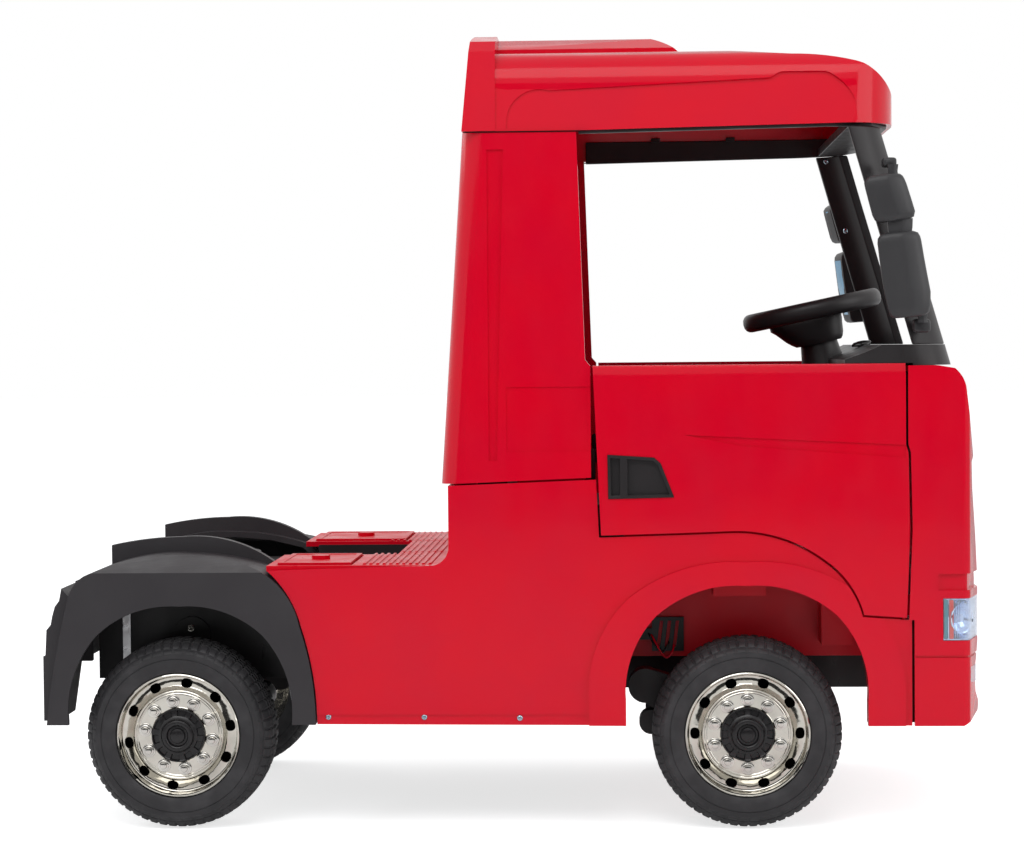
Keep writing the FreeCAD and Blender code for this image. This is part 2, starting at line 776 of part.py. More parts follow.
def roof_relief():
    """Sunk field along the roof's right side, bounded by a crease that dips at both ends."""
    depth = 2.5
    shares = [(0.102, -0.2), (0.102, 0.05), [(0.118, 0.33), (0.20, 0.46)], (0.71, 0.575),
              [(0.86, 0.58), (0.905, 0.30)], (0.925, -0.2)]
    field = side_prism(in_frame(roof_back_x, eaves_z, roof_front_x - roof_back_x, roof_z - eaves_z, shares),
                       -half_width - overrun, 0)
    brow_z = roof_z - roof_shoulder
    outer = -half_width - overrun
    slab = front_prism([(-roof_half_width + depth, eaves_z - overrun), (-roof_half_width + roof_lean + depth, brow_z),
                        (-roof_half_width + roof_lean + 2 * depth, brow_z + overrun), (outer, brow_z + overrun),
                        (outer, eaves_z - overrun)], rear_x, front_x)
    return field.common(slab)


def roof_shell():
    """Roof moulding: open below, with a raised hump over the back and a relief along each side."""
    inside = roof_volume(roof_wall)
    shell = fused([roof_volume(0).cut(inside), roof_hump(), roof_strip().cut(inside)])
    relief = roof_relief()
    return shell.cut(under_eaves(0)).cut(relief).cut(mirrored(relief))


def roof_frame():
    """Black inner frame under the roof's edge: a rail along each side, tabs on it, a header in front."""
    header_share = 0.5
    header_reach_share = 0.7
    tab_shares = (0.456, 0.657)
    tab_width = 14.0
    low = eaves_z - frame_drop
    top = eaves_z + frame_height
    outer = plan_prism(chords(roof_plan(roof_wall + seat_gap)), low, top)
    inner = plan_prism(chords(roof_plan(roof_wall + frame_wall)), low - overrun, top + overrun)
    behind = block(rear_x, window_back_x - window_lean + panel_gap, -half_width, half_width, 0, hump_z)
    header = plan_prism(chords(roof_plan(roof_wall + seat_gap)), low, eaves_z + header_share * frame_height)
    header = header.common(block(roof_front_x - header_reach_share * roof_corner_radius, front_x,
                                 -half_width, half_width, 0, hump_z))
    tab_y = roof_half_width - roof_wall - frame_wall
    tab_xs = [roof_back_x + share * (roof_front_x - roof_back_x) for share in tab_shares]
    tabs = [block(x - tab_width / 2, x + tab_width / 2, side * (tab_y - thin_wall), side * (tab_y + thin_wall),
                  top - sink, top + thin_wall) for x in tab_xs for side in (-1, 1)]
    frame = fused([outer.cut(inner).cut(behind), header] + tabs)
    return frame.common(roof_volume(roof_wall + seat_gap)).cut(under_eaves(frame_drop))


# Front of the cab

def fascia_volume(inset):
    """Volume of the nose below the windscreen, reaching past the fascia's back and lower edges."""
    low_shares = [(-0.6, -0.15), (0.70, -0.15), (0.70, 0.0), (0.975, 0.028), (1.0, 0.05), (0.925, 0.085),
                  (0.90, 0.142), (0.95, 0.19), (0.975, 0.225), (0.975, 0.40), (0.925, 0.525), (0.855, 0.655)]
    high_shares = [(0.843, 0.731), (0.881, 0.746), (0.745, 0.942)]
    top_shares = [(0.69, 0.968), (0.585, 0.992)]
    shares = low_shares + high_shares + [top_shares, (0.35, 1.0), (-0.6, 1.0)]
    outline = in_frame(fascia_x, chin_z, front_x - fascia_x, belt_z - chin_z - panel_gap, shares)
    plan = grown(fascia_plan(), -inset)
    if inset > wall / 2:
        outline, plan = chords(outline), chords(plan)
    side = side_prism(grown(outline, -inset), -half_width, half_width)
    return side.common(plan_prism(plan, chin_z - 2 * overrun, belt_z + overrun))


def fascia_plan():
    """Plan of the nose: a tight bend at each side, a face turned a little outward, then the flat front."""
    corner_shares = [(0.45, 0.0), (0.36, 0.025), (0.28, 0.10), (0.0, 1.0)]
    front = front_x - front_bow
    back = fascia_x - 2 * overrun
    right = [(front - a * corner_reach, -half_width + b * corner_reach) for a, b in corner_shares]
    left = [(x, -y) for x, y in reversed(right)]
    return [(back, -half_width), right[0], right[1:3], right[3], (front_x, -front_flat_half),
            (front_x, front_flat_half), left[0], left[1], left[2:], (back, half_width)]


def nose_window(half, low, height, fit=0.0):
    """Opening in the front of the nose, made smaller all round by a fit."""
    return block(fascia_x + 2 * wall, front_x + overrun, -half + fit, half - fit, low + fit, low + height - fit)


def lamp_window(side, fit=0.0):
    """Opening of a headlamp that wraps round the corner."""
    return block(lamp_back_x + fit, front_x + overrun, side * (lamp_inner_y + fit), side * (half_width + overrun),
                 lamp_low_z + fit, lamp_low_z + lamp_height - fit)


def fog_window(side, fit=0.0):
    return block(fascia_x + 2 * wall, front_x + overrun, side * (fog_inner_y + fit),
                 side * (fog_inner_y + fog_width - fit), fog_low_z + fit, fog_low_z + fog_height - fit)


def front_fascia():
    """One-piece nose: rounded corners, lamp pockets, grille opening, lower intake and a chin groove."""
    line_z = 237.0
    line_width = 3.0
    line_depth = 2.5
    groove_low_z = 328.0
    groove_width = 22.0
    groove_depth = 4.5
    groove_back_x = lamp_back_x - 6.0
    outer = fascia_volume(0)
    shell = outer.cut(fascia_volume(wall))
    beside_door = [(fascia_x, chin_z), (front_x + overrun, chin_z), (front_x + overrun, belt_z), (hinge_x, belt_z),
                   (hinge_x, door_bottom_z - panel_gap), (fascia_x, door_bottom_z - panel_gap)]
    shell = shell.common(side_prism(beside_door, -half_width, half_width))
    shell = shell.cut(door_opening(-half_width - overrun, half_width + overrun))
    shell = shell.cut(block(hinge_x - overrun, fascia_x, -half_width + 2 * overrun, half_width - 2 * overrun,
                            door_bottom_z, belt_z))
    post = hinge_post(hinge_r + hinge_clear)
    shell = shell.cut(post).cut(mirrored(post))
    for side in (-1, 1):
        shell = shell.cut(lamp_window(side)).cut(fog_window(side))
    shell = shell.cut(nose_window(grille_half_width, grille_low_z, grille_height))
    shell = shell.cut(nose_window(intake_half_width, intake_low_z, intake_height))
    for depth, back, low, width in ((line_depth, fascia_x, line_z, line_width),
                                    (groove_depth, groove_back_x, groove_low_z, groove_width)):
        band = block(back, front_x + overrun, -half_width, half_width, low, low + width)
        shell = shell.cut(outer.cut(fascia_volume(depth)).common(band))
    return shell


def front_lamps():
    """Headlamps that wrap round the corners, and the fog lamps under them."""
    depth = 26.0
    skin = fascia_volume(seat_gap).cut(fascia_volume(depth))
    lamps = []
    for side in (-1, 1):
        lamps.append(skin.common(lamp_window(side, seat_gap)))
        lamps.append(skin.common(fog_window(side, seat_gap)))
    return lamps


def grille():
    """Slatted grille and lower intake, each a black tray with bars across its mouth."""
    bar = 7.0
    face_in = 2.5
    recess = 13.0
    depth = 18.5
    skin = fascia_volume(face_in).cut(fascia_volume(depth))
    floor = fascia_volume(recess)
    upper_bars = 6
    lower_bars = 3
    pieces = []
    for half, low, height, count in ((grille_half_width, grille_low_z, grille_height, upper_bars),
                                     (intake_half_width, intake_low_z, intake_height, lower_bars)):
        frame = skin.common(nose_window(half, low, height, seat_gap))
        pitch = (height - bar) / count
        slots = [block(fascia_x, front_x + overrun, -half + bar, half - bar, low + bar + i * pitch,
                       low + (i + 1) * pitch) for i in range(count)]
        pieces.append(frame.cut(Part.Compound(slots).cut(floor)))
    return pieces


def dashboard():
    """Black dash and windscreen cowl with the steering column's boss."""
    inner_half = half_width - door_thickness - 2 * overrun
    back_x = fascia_x - 91.0
    low_z = 503.0
    boss_r = 23.0
    boss_spread = 1.5
    boss_length = 80.0
    run = fascia_x - back_x
    lip_share, shelf_rise_share = 0.2, 0.6
    lip = belt_z + lip_share * (cowl_z - belt_z)
    crest_share, shelf_share, knee_share, foot_share = 0.55, 0.3, 0.1, 0.5
    shelf = (back_x + shelf_share * run, belt_z + shelf_rise_share * (cowl_z - belt_z))
    crest = (back_x + crest_share * run, cowl_z)
    body = side_prism([(back_x, lip), shelf, crest, (fascia_x - seat_gap, cowl_z), (fascia_x - seat_gap, low_z),
                       (back_x + foot_share * run, low_z), (back_x + knee_share * run, low_z + overrun)],
                      -inner_half, inner_half)
    cowl_low = belt_z + seat_gap
    over_fascia = belt_z - panel_gap + seat_gap
    step_x = hinge_x + hinge_r + hinge_clear
    cowl_side = side_prism([(back_x, cowl_low), (back_x, lip), shelf, crest, (front_x, cowl_z),
                            (front_x, over_fascia), (step_x, over_fascia), (step_x, cowl_low)],
                           -half_width, half_width)
    cowl = cab_block(0).common(cowl_side)
    for side in (-1, 1):
        cowl = cowl.cut(hinge_hole(belt_z, side))
    axis = steering_axis()
    foot = V(steering_x, 0, steering_z) - axis * (steering_hub_depth + boss_length)
    boss = Part.makeCone(boss_spread * boss_r, boss_r, boss_length, foot, axis)
    return fused([body, cowl, boss])


def steering_axis():
    angle = math.radians(steering_tilt)
    return V(-math.sin(angle), 0, math.cos(angle))


def steering_wheel():
    """Steering wheel: a rim of eight-sided section, three flat spokes and a hub pad."""
    rim_sides = 48
    section_sides = 8
    hub_r = 30.0
    spoke_width = 26.0
    spoke_thickness = 8.0
    spokes = 3
    centre = V(steering_x, 0, steering_z)
    axis = steering_axis()
    section = []
    for i in range(section_sides):
        angle = 2 * math.pi * (i + 0.5) / section_sides
        section.append((steering_r + steering_rim_r * math.cos(angle), steering_rim_r * math.sin(angle)))
    grip = ring_body(section, rim_sides, V(0, 0, 0), 1)
    grip.Placement = FreeCAD.Placement(centre, FreeCAD.Rotation(V(0, 1, 0), axis))
    pieces = [grip]
    depth = steering_hub_depth - seat_gap
    pieces.append(turned([(0, -depth), (hub_r / 2, -depth), (hub_r, -depth / 2), (hub_r, spoke_thickness / 2),
                          (0, spoke_thickness)], centre, axis))
    for i in range(spokes):
        spoke = block(0, steering_r, -spoke_width / 2, spoke_width / 2, -spoke_thickness / 2, spoke_thickness / 2)
        spoke.rotate(V(0, 0, 0), V(0, 0, 1), 180 + 360 * i / spokes)
        tilt = FreeCAD.Rotation(V(0, 1, 0), -steering_tilt)
        spoke.Placement = FreeCAD.Placement(centre, tilt).multiply(spoke.Placement)
        pieces.append(spoke)
    return fused(pieces)


def mirror_housing():
    """Right mirror: an upper and a lower head joined by a neck, on two arms that clip to the pillar."""
    head_length = 66.0
    neck_back = 1.0
    neck_length = 24.0
    neck_lap = 10.0
    neck_share = 0.2
    arm_share = 0.5
    arm_back = 48.0
    arm_width = 24.0
    arm_half_height = 9.0
    arm_zs = (mirror_low_z + 16.0, mirror_upper_z + 55.0)
    low_shares = [(0.0, 0.0), (0.30, -0.06), (0.78, 0.0), (0.86, 0.12), (0.80, 0.5), (0.62, 0.98), (0.10, 0.98),
                  (0.0, 0.90)]
    lap = -mirror_upper_lap_share
    upper_shares = [(0.12, 0.02), (0.96, 0.12), (1.0, 0.25), (0.60, 0.97), (0.50, 1.0), (0.0, 0.95), (lap, 0.85),
                    (lap, 0.02)]
    outer = -mirror_out_y
    inner = outer + mirror_depth
    lower = side_prism(in_frame(mirror_x, mirror_low_z, head_length, mirror_low_height, low_shares), outer, inner)
    upper = side_prism(in_frame(mirror_upper_x, mirror_upper_z, mirror_upper_length, mirror_upper_height,
                                upper_shares),
                       outer, inner)
    neck = block(mirror_x + neck_back, mirror_x + neck_back + neck_length, outer + neck_share * mirror_depth, inner - neck_share * mirror_depth,
                 mirror_low_z + mirror_low_height - neck_lap, mirror_upper_z + neck_lap)
    outside = cab_block(-seat_gap)
    arms = []
    for z in arm_zs:
        share = (z - waist_z) / (eaves_z - waist_z)
        x = screen_x_low + (screen_x_top - screen_x_low) * share - arm_back
        arm = block(x, x + arm_width, outer + arm_share * mirror_depth, -cab_half_width_top,
                    z - arm_half_height, z + arm_half_height)
        arms.append(arm.cut(outside))
    return fused([lower, upper, neck] + arms)


def mirror_glass():
    """The two flat mirrors on the rear faces of the right heads."""
    margin = 5.0
    thickness = 3.0
    outer = -mirror_out_y + margin
    inner = -mirror_out_y + mirror_depth - margin
    low_x = mirror_x - seat_gap
    upper_x = mirror_upper_x - mirror_upper_lap_share * mirror_upper_length - seat_gap
    low = block(low_x - thickness, low_x, outer, inner, mirror_low_z + margin,
                mirror_low_z + mirror_low_height - 4 * margin)
    upper = block(upper_x - thickness, upper_x, outer, inner, mirror_upper_z + margin,
                  mirror_upper_z + mirror_upper_height - 4 * margin)
    return [low, upper]


# Doors

def door():
    """Right door: one thick moulding with a bevelled top, a swage and a pocket for the handle."""
    bevel_height = 19.0
    bevel_depth = 6.0
    swage_depth = 2.0
    swage_shares = [(0.29, 0.725), (0.987, 0.68), (0.987, 0.63), (0.47, 0.68)]
    outside = -half_width - overrun
    panel = side_prism(door_outline(), -door_face_y, -door_face_y + door_thickness)
    bevel = front_prism([(-half_width, belt_z - bevel_height), (-half_width + bevel_depth, belt_z + seat_gap),
                         (outside, belt_z + seat_gap), (outside, belt_z - bevel_height)], 0, front_x)
    swage = side_prism(in_frame(door_back_x, door_bottom_z, door_length, door_height, swage_shares),
                       outside, -door_face_y + swage_depth)
    panel = panel.cut(bevel).cut(swage).cut(handle_prism(0, handle_pocket))
    front_end = block(hinge_x, front_x, -half_width, 0, door_bottom_z - sink, belt_z + sink)
    panel = panel.cut(front_end.cut(hinge_post(hinge_r)))
    pins = []
    for z, drop, rise in ((door_bottom_z, panel_gap + pin_length, pin_length), (belt_z, pin_length, pin_length)):
        pins.append(rod(V(hinge_x, -hinge_y, z - drop), V(hinge_x, -hinge_y, z + rise), pin_r))
    return fused([panel] + pins)


def handle_prism(inset, depth):
    """Outline of the handle pocket, smaller by an inset and reaching the given depth into the door."""
    shares = [(0.0, 1.0), (0.70, 0.93), (0.80, 0.80), (1.0, 0.03), (0.01, 0.0)]
    outline = in_frame(handle_x, handle_z, handle_length, handle_height, shares)
    return side_prism(grown(outline, -inset), -half_width - overrun, -door_face_y + depth)


def door_handle():
    """Black handle plate in the door's pocket, with two finger hollows and a bar between."""
    border = 4.0
    floor = 3.0
    bar_x = handle_x + 17.0
    bar_width = 10.0
    proud = 2.0
    plate = handle_prism(seat_gap, handle_pocket - seat_gap)
    plate = plate.common(block(0, front_x, -door_face_y - proud, 0, 0, belt_z))
    finger = handle_prism(border, handle_pocket - floor)
    bar = block(bar_x, bar_x + bar_width, -half_width - overrun, 0, 0, belt_z)
    return plate.cut(finger.cut(bar))


# Interior and underbody

def floor_pan():
    """Red floor: footwell between the wheel houses and the folded ledges over the wheels."""
    ledge_rise = 8.0
    fold_out = 60.0
    fold_shares = ((-0.25, 0.20, 0.84), (0.67, 0.93, 0.40))
    ledge_z = arch_centre_z + arch_height + ledge_rise
    front = fascia_x - seat_gap
    top = ledge_z + thin_wall
    well = block(well_back_x, front, -well_half, well_half, well_z, top)
    inner = block(well_back_x + thin_wall, front - thin_wall, -well_half + thin_wall, well_half - thin_wall,
                  well_z + thin_wall, top + overrun)
    ledges = block(tub_front_x + thin_wall, front, -side_inner_y, side_inner_y, ledge_z, top)
    over_wheel = front_arch(flare_side, flare_top, -half_width, half_width)
    over_wheel = over_wheel.fuse(block(tub_front_x, fascia_x, -well_half, well_half, 0, belt_z))
    pieces = [well.cut(inner), ledges.common(over_wheel).cut(inner)]
    for start, end, rise in fold_shares:
        x0, x1 = front_arch_x + start * arch_half_length, front_arch_x + end * arch_half_length
        low = arch_centre_z + rise * arch_height
        for side in (-1, 1):
            pieces.append(block(x0, x1, side * (well_half - sink), side * (well_half + fold_out), low, ledge_z + sink))
    return fused(pieces)


def pedal():
    """Foot pedal on the floor of the well, a ribbed wedge on its own base."""
    pedal_x = front_axle_x + 77.0
    pedal_run = 90.0
    pedal_rise = 40.0
    pedal_y = -85.0
    pedal_width = 55.0
    base_z = well_z + thin_wall + seat_gap
    wedge = [(pedal_x, base_z), (pedal_x + pedal_run, base_z), (pedal_x + pedal_run, base_z + pedal_rise),
             (pedal_x, base_z + thin_wall)]
    return side_prism(wedge, pedal_y, pedal_y + pedal_width)


def chassis_frame():
    """Black underbody: a tub between the axles, a box over the rear axle and a spine to the front."""
    bevel = 17.0
    top = deck_z - wall - seat_gap
    bevel_z = tub_low_z + bevel + thin_wall
    section = [(-side_inner_y, top), (-side_inner_y, bevel_z), (-tub_keel_half, tub_low_z),
               (tub_keel_half, tub_low_z), (side_inner_y, bevel_z), (side_inner_y, top)]
    half = side_inner_y - thin_wall
    inside = [(-half, top + overrun), (-half, bevel_z + panel_gap), (-tub_keel_half, tub_low_z + thin_wall),
              (tub_keel_half, tub_low_z + thin_wall), (half, bevel_z + panel_gap), (half, top + overrun)]
    tub = front_prism(section, tub_back_x, tub_front_x)
    tub = tub.cut(front_prism(inside, tub_back_x + thin_wall, tub_front_x - thin_wall))
    tub = tub.cut(block(well_back_x - seat_gap, tub_front_x + overrun, -well_half - seat_gap, well_half + seat_gap,
                        well_z - seat_gap, top + overrun))
    tub = tub.cut(block(rear_x, tray_front_x + seat_gap, -tray_half_width, tray_half_width, box_top_z, deck_z))
    return fused([tub, rear_box(), spine()] + rear_hangers() + [front_bracket(side) for side in (-1, 1)])


def rear_box():
    """Box over the rear axle, open below, with a round boss on each flank."""
    low_z = 193.0
    boss_r = 26.0
    boss_z = 255.0
    back = rear_face_x + 4 * wall
    box = block(back, tub_back_x + sink, -box_half, box_half, low_z, box_top_z)
    box = box.cut(block(back + thin_wall, tub_back_x - thin_wall, -box_half + thin_wall, box_half - thin_wall,
                        0, box_top_z - thin_wall))
    bosses = [rod(V(rear_axle_x, side * (box_half - sink), boss_z), V(rear_axle_x, side * (box_half + panel_gap),
                  boss_z), boss_r) for side in (-1, 1)]
    return fused([box] + bosses)


def rear_hangers():
    """Plates that hang from the box and carry the rear axle."""
    hanger_y = 118.0
    hanger_half = 16.0
    hangers = []
    for side in (-1, 1):
        y = side * hanger_y
        hanger = block(rear_axle_x - hanger_half, rear_axle_x + hanger_half, y - thin_wall, y + thin_wall,
                       tyre_r - hanger_half, box_top_z - thin_wall / 2)
        hangers.append(hanger.cut(rod(V(rear_axle_x, y - overrun, tyre_r), V(rear_axle_x, y + overrun, tyre_r),
                                      axle_r + seat_gap)))
    return hangers


def spine():
    """Channel from the tub to the nose under the footwell, cut out over the front axle's post."""
    low_z = 163.0
    notch_half = 24.0
    notch_z = well_z - 30.0
    top = well_z - seat_gap
    beam = block(tub_front_x - thin_wall, spine_front_x, -spine_half, spine_half, low_z, top)
    core = block(tub_front_x - 2 * thin_wall, spine_front_x - thin_wall, -spine_half + thin_wall,
                 spine_half - thin_wall, 0, top - thin_wall)
    notch = block(front_axle_x - notch_half, front_axle_x + notch_half, -half_width, half_width, 0, notch_z)
    return beam.cut(core).cut(notch)


def front_bracket(side):
    """Slotted bracket that reaches forward from the tub over the wheel's rear edge."""
    head_x = tub_front_x + 47.0
    head_end_x = tub_front_x + 92.0
    head_low_z = 227.0
    head_high_z = 275.0
    strip_low_z = 243.0
    strip_high_z = 259.0
    slots = 3
    slot_width = 5.0
    y0, y1 = side * (well_half + seat_gap), side * (well_half + wall)
    strip = block(tub_front_x - sink, head_x + sink, y0, y1, strip_low_z, strip_high_z)
    head = block(head_x, head_end_x, y0, y1, head_low_z, head_high_z)
    pitch = (head_end_x - head_x) / (slots + 1)
    for i in range(slots):
        x = head_x + (i + 1) * pitch
        slot = [(x - slot_width, head_low_z + thin_wall), (x, head_low_z + thin_wall),
                (x + slot_width, head_high_z - thin_wall), (x, head_high_z - thin_wall)]
        head = head.cut(side_prism(slot, min(y0, y1) - sink, max(y0, y1) + sink))
    return head.fuse(strip)


def rear_struts():
    """Bare metal straps on the rear box: an upright behind the axle and a bent plate ahead of it."""
    upright_x = rear_x + 84.0
    upright_width = 11.0
    upright_low_z = 208.0
    upright_high_z = 303.0
    plate_x = tub_back_x - 64.0
    plate_run = 27.0
    plate_low_z = 143.0
    plate_rise = 94.0
    plate_shares = [(0.37, 1.0), (0.0, 0.56), (0.33, 0.0), (1.0, 0.287), (0.81, 0.585)]
    plate = in_frame(plate_x, plate_low_z, plate_run, plate_rise, plate_shares)
    struts = []
    for side in (-1, 1):
        y0, y1 = sorted((side * (box_half + seat_gap), side * (box_half + panel_gap)))
        struts.append(block(upright_x, upright_x + upright_width, y0, y1, upright_low_z, upright_high_z))
        struts.append(side_prism(plate, y0, y1))
    return struts


def battery():
    back_x = tub_back_x + 18.0
    case_length = 150.0
    case_half = 50.0
    case_height = 95.0
    low = tub_low_z + thin_wall + seat_gap
    return block(back_x, back_x + case_length, -case_half, case_half, low, low + case_height)


def seat():
    """Moulded seat: a cushion with a raised front edge and a tall back, one L-shaped piece."""
    half = 150.0
    seat_length = 210.0
    seat_height = 400.0
    seat_back_x = lower_back_x + 29.0
    base_z = deck_z + thin_wall
    shares = [(0.0, 0.0), (0.96, 0.0), (1.0, 0.075), [(0.985, 0.14), (0.82, 0.165)], (0.35, 0.13),
              [(0.25, 0.165), (0.21, 0.24)], (0.125, 0.95), [(0.085, 0.995), (0.03, 0.975)]]
    return side_prism(in_frame(seat_back_x, base_z, seat_length, seat_height, shares), -half, half)


def seat_base():
    """Platform under the seat that spans the tub from side to side."""
    top = deck_z + thin_wall - seat_gap
    bridge_front_x = well_back_x + 40.0
    back = lower_back_x + cab_wall + seat_gap
    plate = block(back, tub_front_x - seat_gap, -side_inner_y, side_inner_y, deck_z - wall, top)
    well = block(well_back_x - seat_gap, tub_front_x + overrun, -well_half - seat_gap, well_half + seat_gap,
                 0, top + overrun)
    bridge = block(back, bridge_front_x, -well_half - thin_wall, well_half + thin_wall, deck_z - wall, top)
    return fused([plate.cut(well), bridge])


# Running gear

def ring_body(profile, sides, centre, side):
    """Ring of flat facets: each (radius, along) point of the closed profile goes round as a regular polygon."""
    corner = 1 / math.cos(math.pi / sides)
    rings = []
    for radius, along in profile:
        y = centre.y + side * along
        rings.append([V(centre.x + radius * corner * math.cos(2 * math.pi * (i + 0.5) / sides), y,
                        centre.z + radius * corner * math.sin(2 * math.pi * (i + 0.5) / sides)) for i in range(sides)])
    faces = []
    for near, far in zip(rings, rings[1:] + rings[:1]):
        for i in range(sides):
            k = (i + 1) % sides
            faces.append(Part.Face(Part.makePolygon([near[i], near[k], far[k], far[i], near[i]])))
    solid = Part.Solid(Part.Shell(faces))
    if solid.Volume < 0:
        solid.reverse()
    return solid


def tyre(centre, side):
    """Foam tyre: a rounded tread over bulged walls, in flat facets finer than a fifth of a millimetre."""
    sides = 60
    half = tyre_width / 2
    wall_shares = [(0.0, 0.90), (0.45, 1.0), (0.65, 0.98), (0.76, 0.88), (0.92, 0.68), (1.0, 0.36)]
    wall_run = tyre_r - tyre_bead_r
    outer = [(tyre_bead_r + rise * wall_run, along * half) for rise, along in wall_shares]
    return ring_body(outer + [(r, -along) for r, along in reversed(outer)], sides, centre, side)


def ring_of(count, radius, centre, offset=0.0):
    """Evenly spaced places round a wheel's axis with the angle of each."""
    spots = []
    for i in range(count):
        angle = 2 * math.pi * (i + offset) / count
        spots.append((angle, centre.x + radius * math.cos(angle), centre.z + radius * math.sin(angle)))
    return spots


def rim(centre, side):
    """Deep rim: rolled lip, dished ring with ten hand holes, raised nut face, ribbed pockets behind."""
    sides = 60
    half = tyre_width / 2
    barrel_r = tyre_bead_r - rim_fit
    back = -0.8 * half
    lip_r, lip_in = barrel_r, 3.5
    dish_r, dish_in = 80.5, 26.0
    step_r, step_slope = 60.0, 3.0
    holes = 10
    hole_ring_r, hole_half_length, hole_half_height, hole_depth = 71.5, 8.0, 7.1, 14.0
    bend_share = 0.5
    pockets = 6
    pocket_inner_r, pocket_outer_r, pocket_rib, pocket_depth = 20.0, 74.0, 8.0, 40.0
    bore = axle_r + running_fit
    profile = [(bore, back), (barrel_r, back), (lip_r, half - lip_in), (dish_r, half - dish_in),
               (step_r + step_slope, half - dish_in), (step_r, half - hub_face_in), (bore, half - hub_face_in)]
    cuts = []
    floor_y, mouth_y = half - dish_in - hole_depth, half
    for angle, x, z in ring_of(holes, hole_ring_r, centre):
        corners = []
        for along, out in ((1, -bend_share), (1, bend_share), (bend_share, 1), (-bend_share, 1), (-1, bend_share),
                           (-1, -bend_share), (-bend_share, -1), (bend_share, -1)):
            a, b = along * hole_half_length, out * hole_half_height
            corners.append((x - a * math.sin(angle) + b * math.cos(angle), z + a * math.cos(angle) + b * math.sin(angle)))
        cuts.append(side_prism(corners, centre.y + side * floor_y, centre.y + side * mouth_y))
    for i in range(pockets):
        corners = []
        for way in (-1, 1):
            for r in (pocket_inner_r, pocket_outer_r)[::-way]:
                angle = 2 * math.pi * i / pockets + way * (math.pi / pockets - math.asin(pocket_rib / 2 / r))
                corners.append((centre.x + r * math.cos(angle), centre.z + r * math.sin(angle)))
        cuts.append(side_prism(corners, centre.y + side * (back - overrun), centre.y + side * (back + pocket_depth)))
    whole = ring_body(profile, sides, centre, side).cut(Part.Compound(cuts))
    tidy = whole.removeSplitter()
    return tidy if tidy.isValid() else whole


def hub_cap(centre, side):
    """Black hub cap: a flange notched into ten lobes round a plain stepped middle."""
    cap_r, notch_r = 37.0, 33.5
    flange_height = 6.0
    boss_r, boss_top_r, boss_height = 22.0, 18.0, 15.0
    lobes = 10
    lobe_share = 0.3
    face = tyre_width / 2 - hub_face_in + seat_gap
    outline = []
    for angle, _, _ in ring_of(lobes, cap_r, centre):
        for r, way in ((notch_r, -1), (cap_r, -lobe_share), (cap_r, lobe_share)):
            turn = angle + way * math.pi / lobes
            outline.append((centre.x + r * math.cos(turn), centre.z + r * math.sin(turn)))
    flange = side_prism(outline, centre.y + side * face, centre.y + side * (face + flange_height))
    boss = turned([(0, face + sink), (boss_r, face + sink), (boss_top_r, face + boss_height), (0, face + boss_height)],
                  centre, V(0, side, 0))
    return fused([flange, boss])


def wheel(name, x, side):
    centre = V(x, side * wheel_y, tyre_r)
    save("tyre_" + name, tyre(centre, side))
    save("rim_" + name, rim(centre, side))
    save("hub_cap_" + name, hub_cap(centre, side))


def front_axle():
    """Beam across the front with a fork and a kingpin at each end, hung from the spine."""
    beam_half_height = 14.0
    web = 10.0
    post_half = 40.0
    x0, x1 = front_axle_x - fork_half, front_axle_x + fork_half
    root_y = kingpin_y - 2 * fork_reach
    pieces = [block(x0, x1, -root_y, root_y, tyre_r - beam_half_height, tyre_r + beam_half_height)]
    for side in (-1, 1):
        pieces.append(block(x0, x1, side * (root_y - web), side * root_y, tyre_r - fork_height, tyre_r + fork_height))
        for z in (tyre_r - fork_height, tyre_r + fork_height - fork_ear):
            pieces.append(block(x0, x1, side * (root_y - sink), side * (kingpin_y + fork_reach), z, z + fork_ear))
        pin = V(front_axle_x, side * kingpin_y, tyre_r)
        pieces.append(rod(pin - V(0, 0, fork_height), pin + V(0, 0, fork_height), kingpin_r))
    top = well_z - thin_wall - 2 * seat_gap
    pieces.append(block(x0, x1, -post_half, post_half, tyre_r, top))
    return fused(pieces)


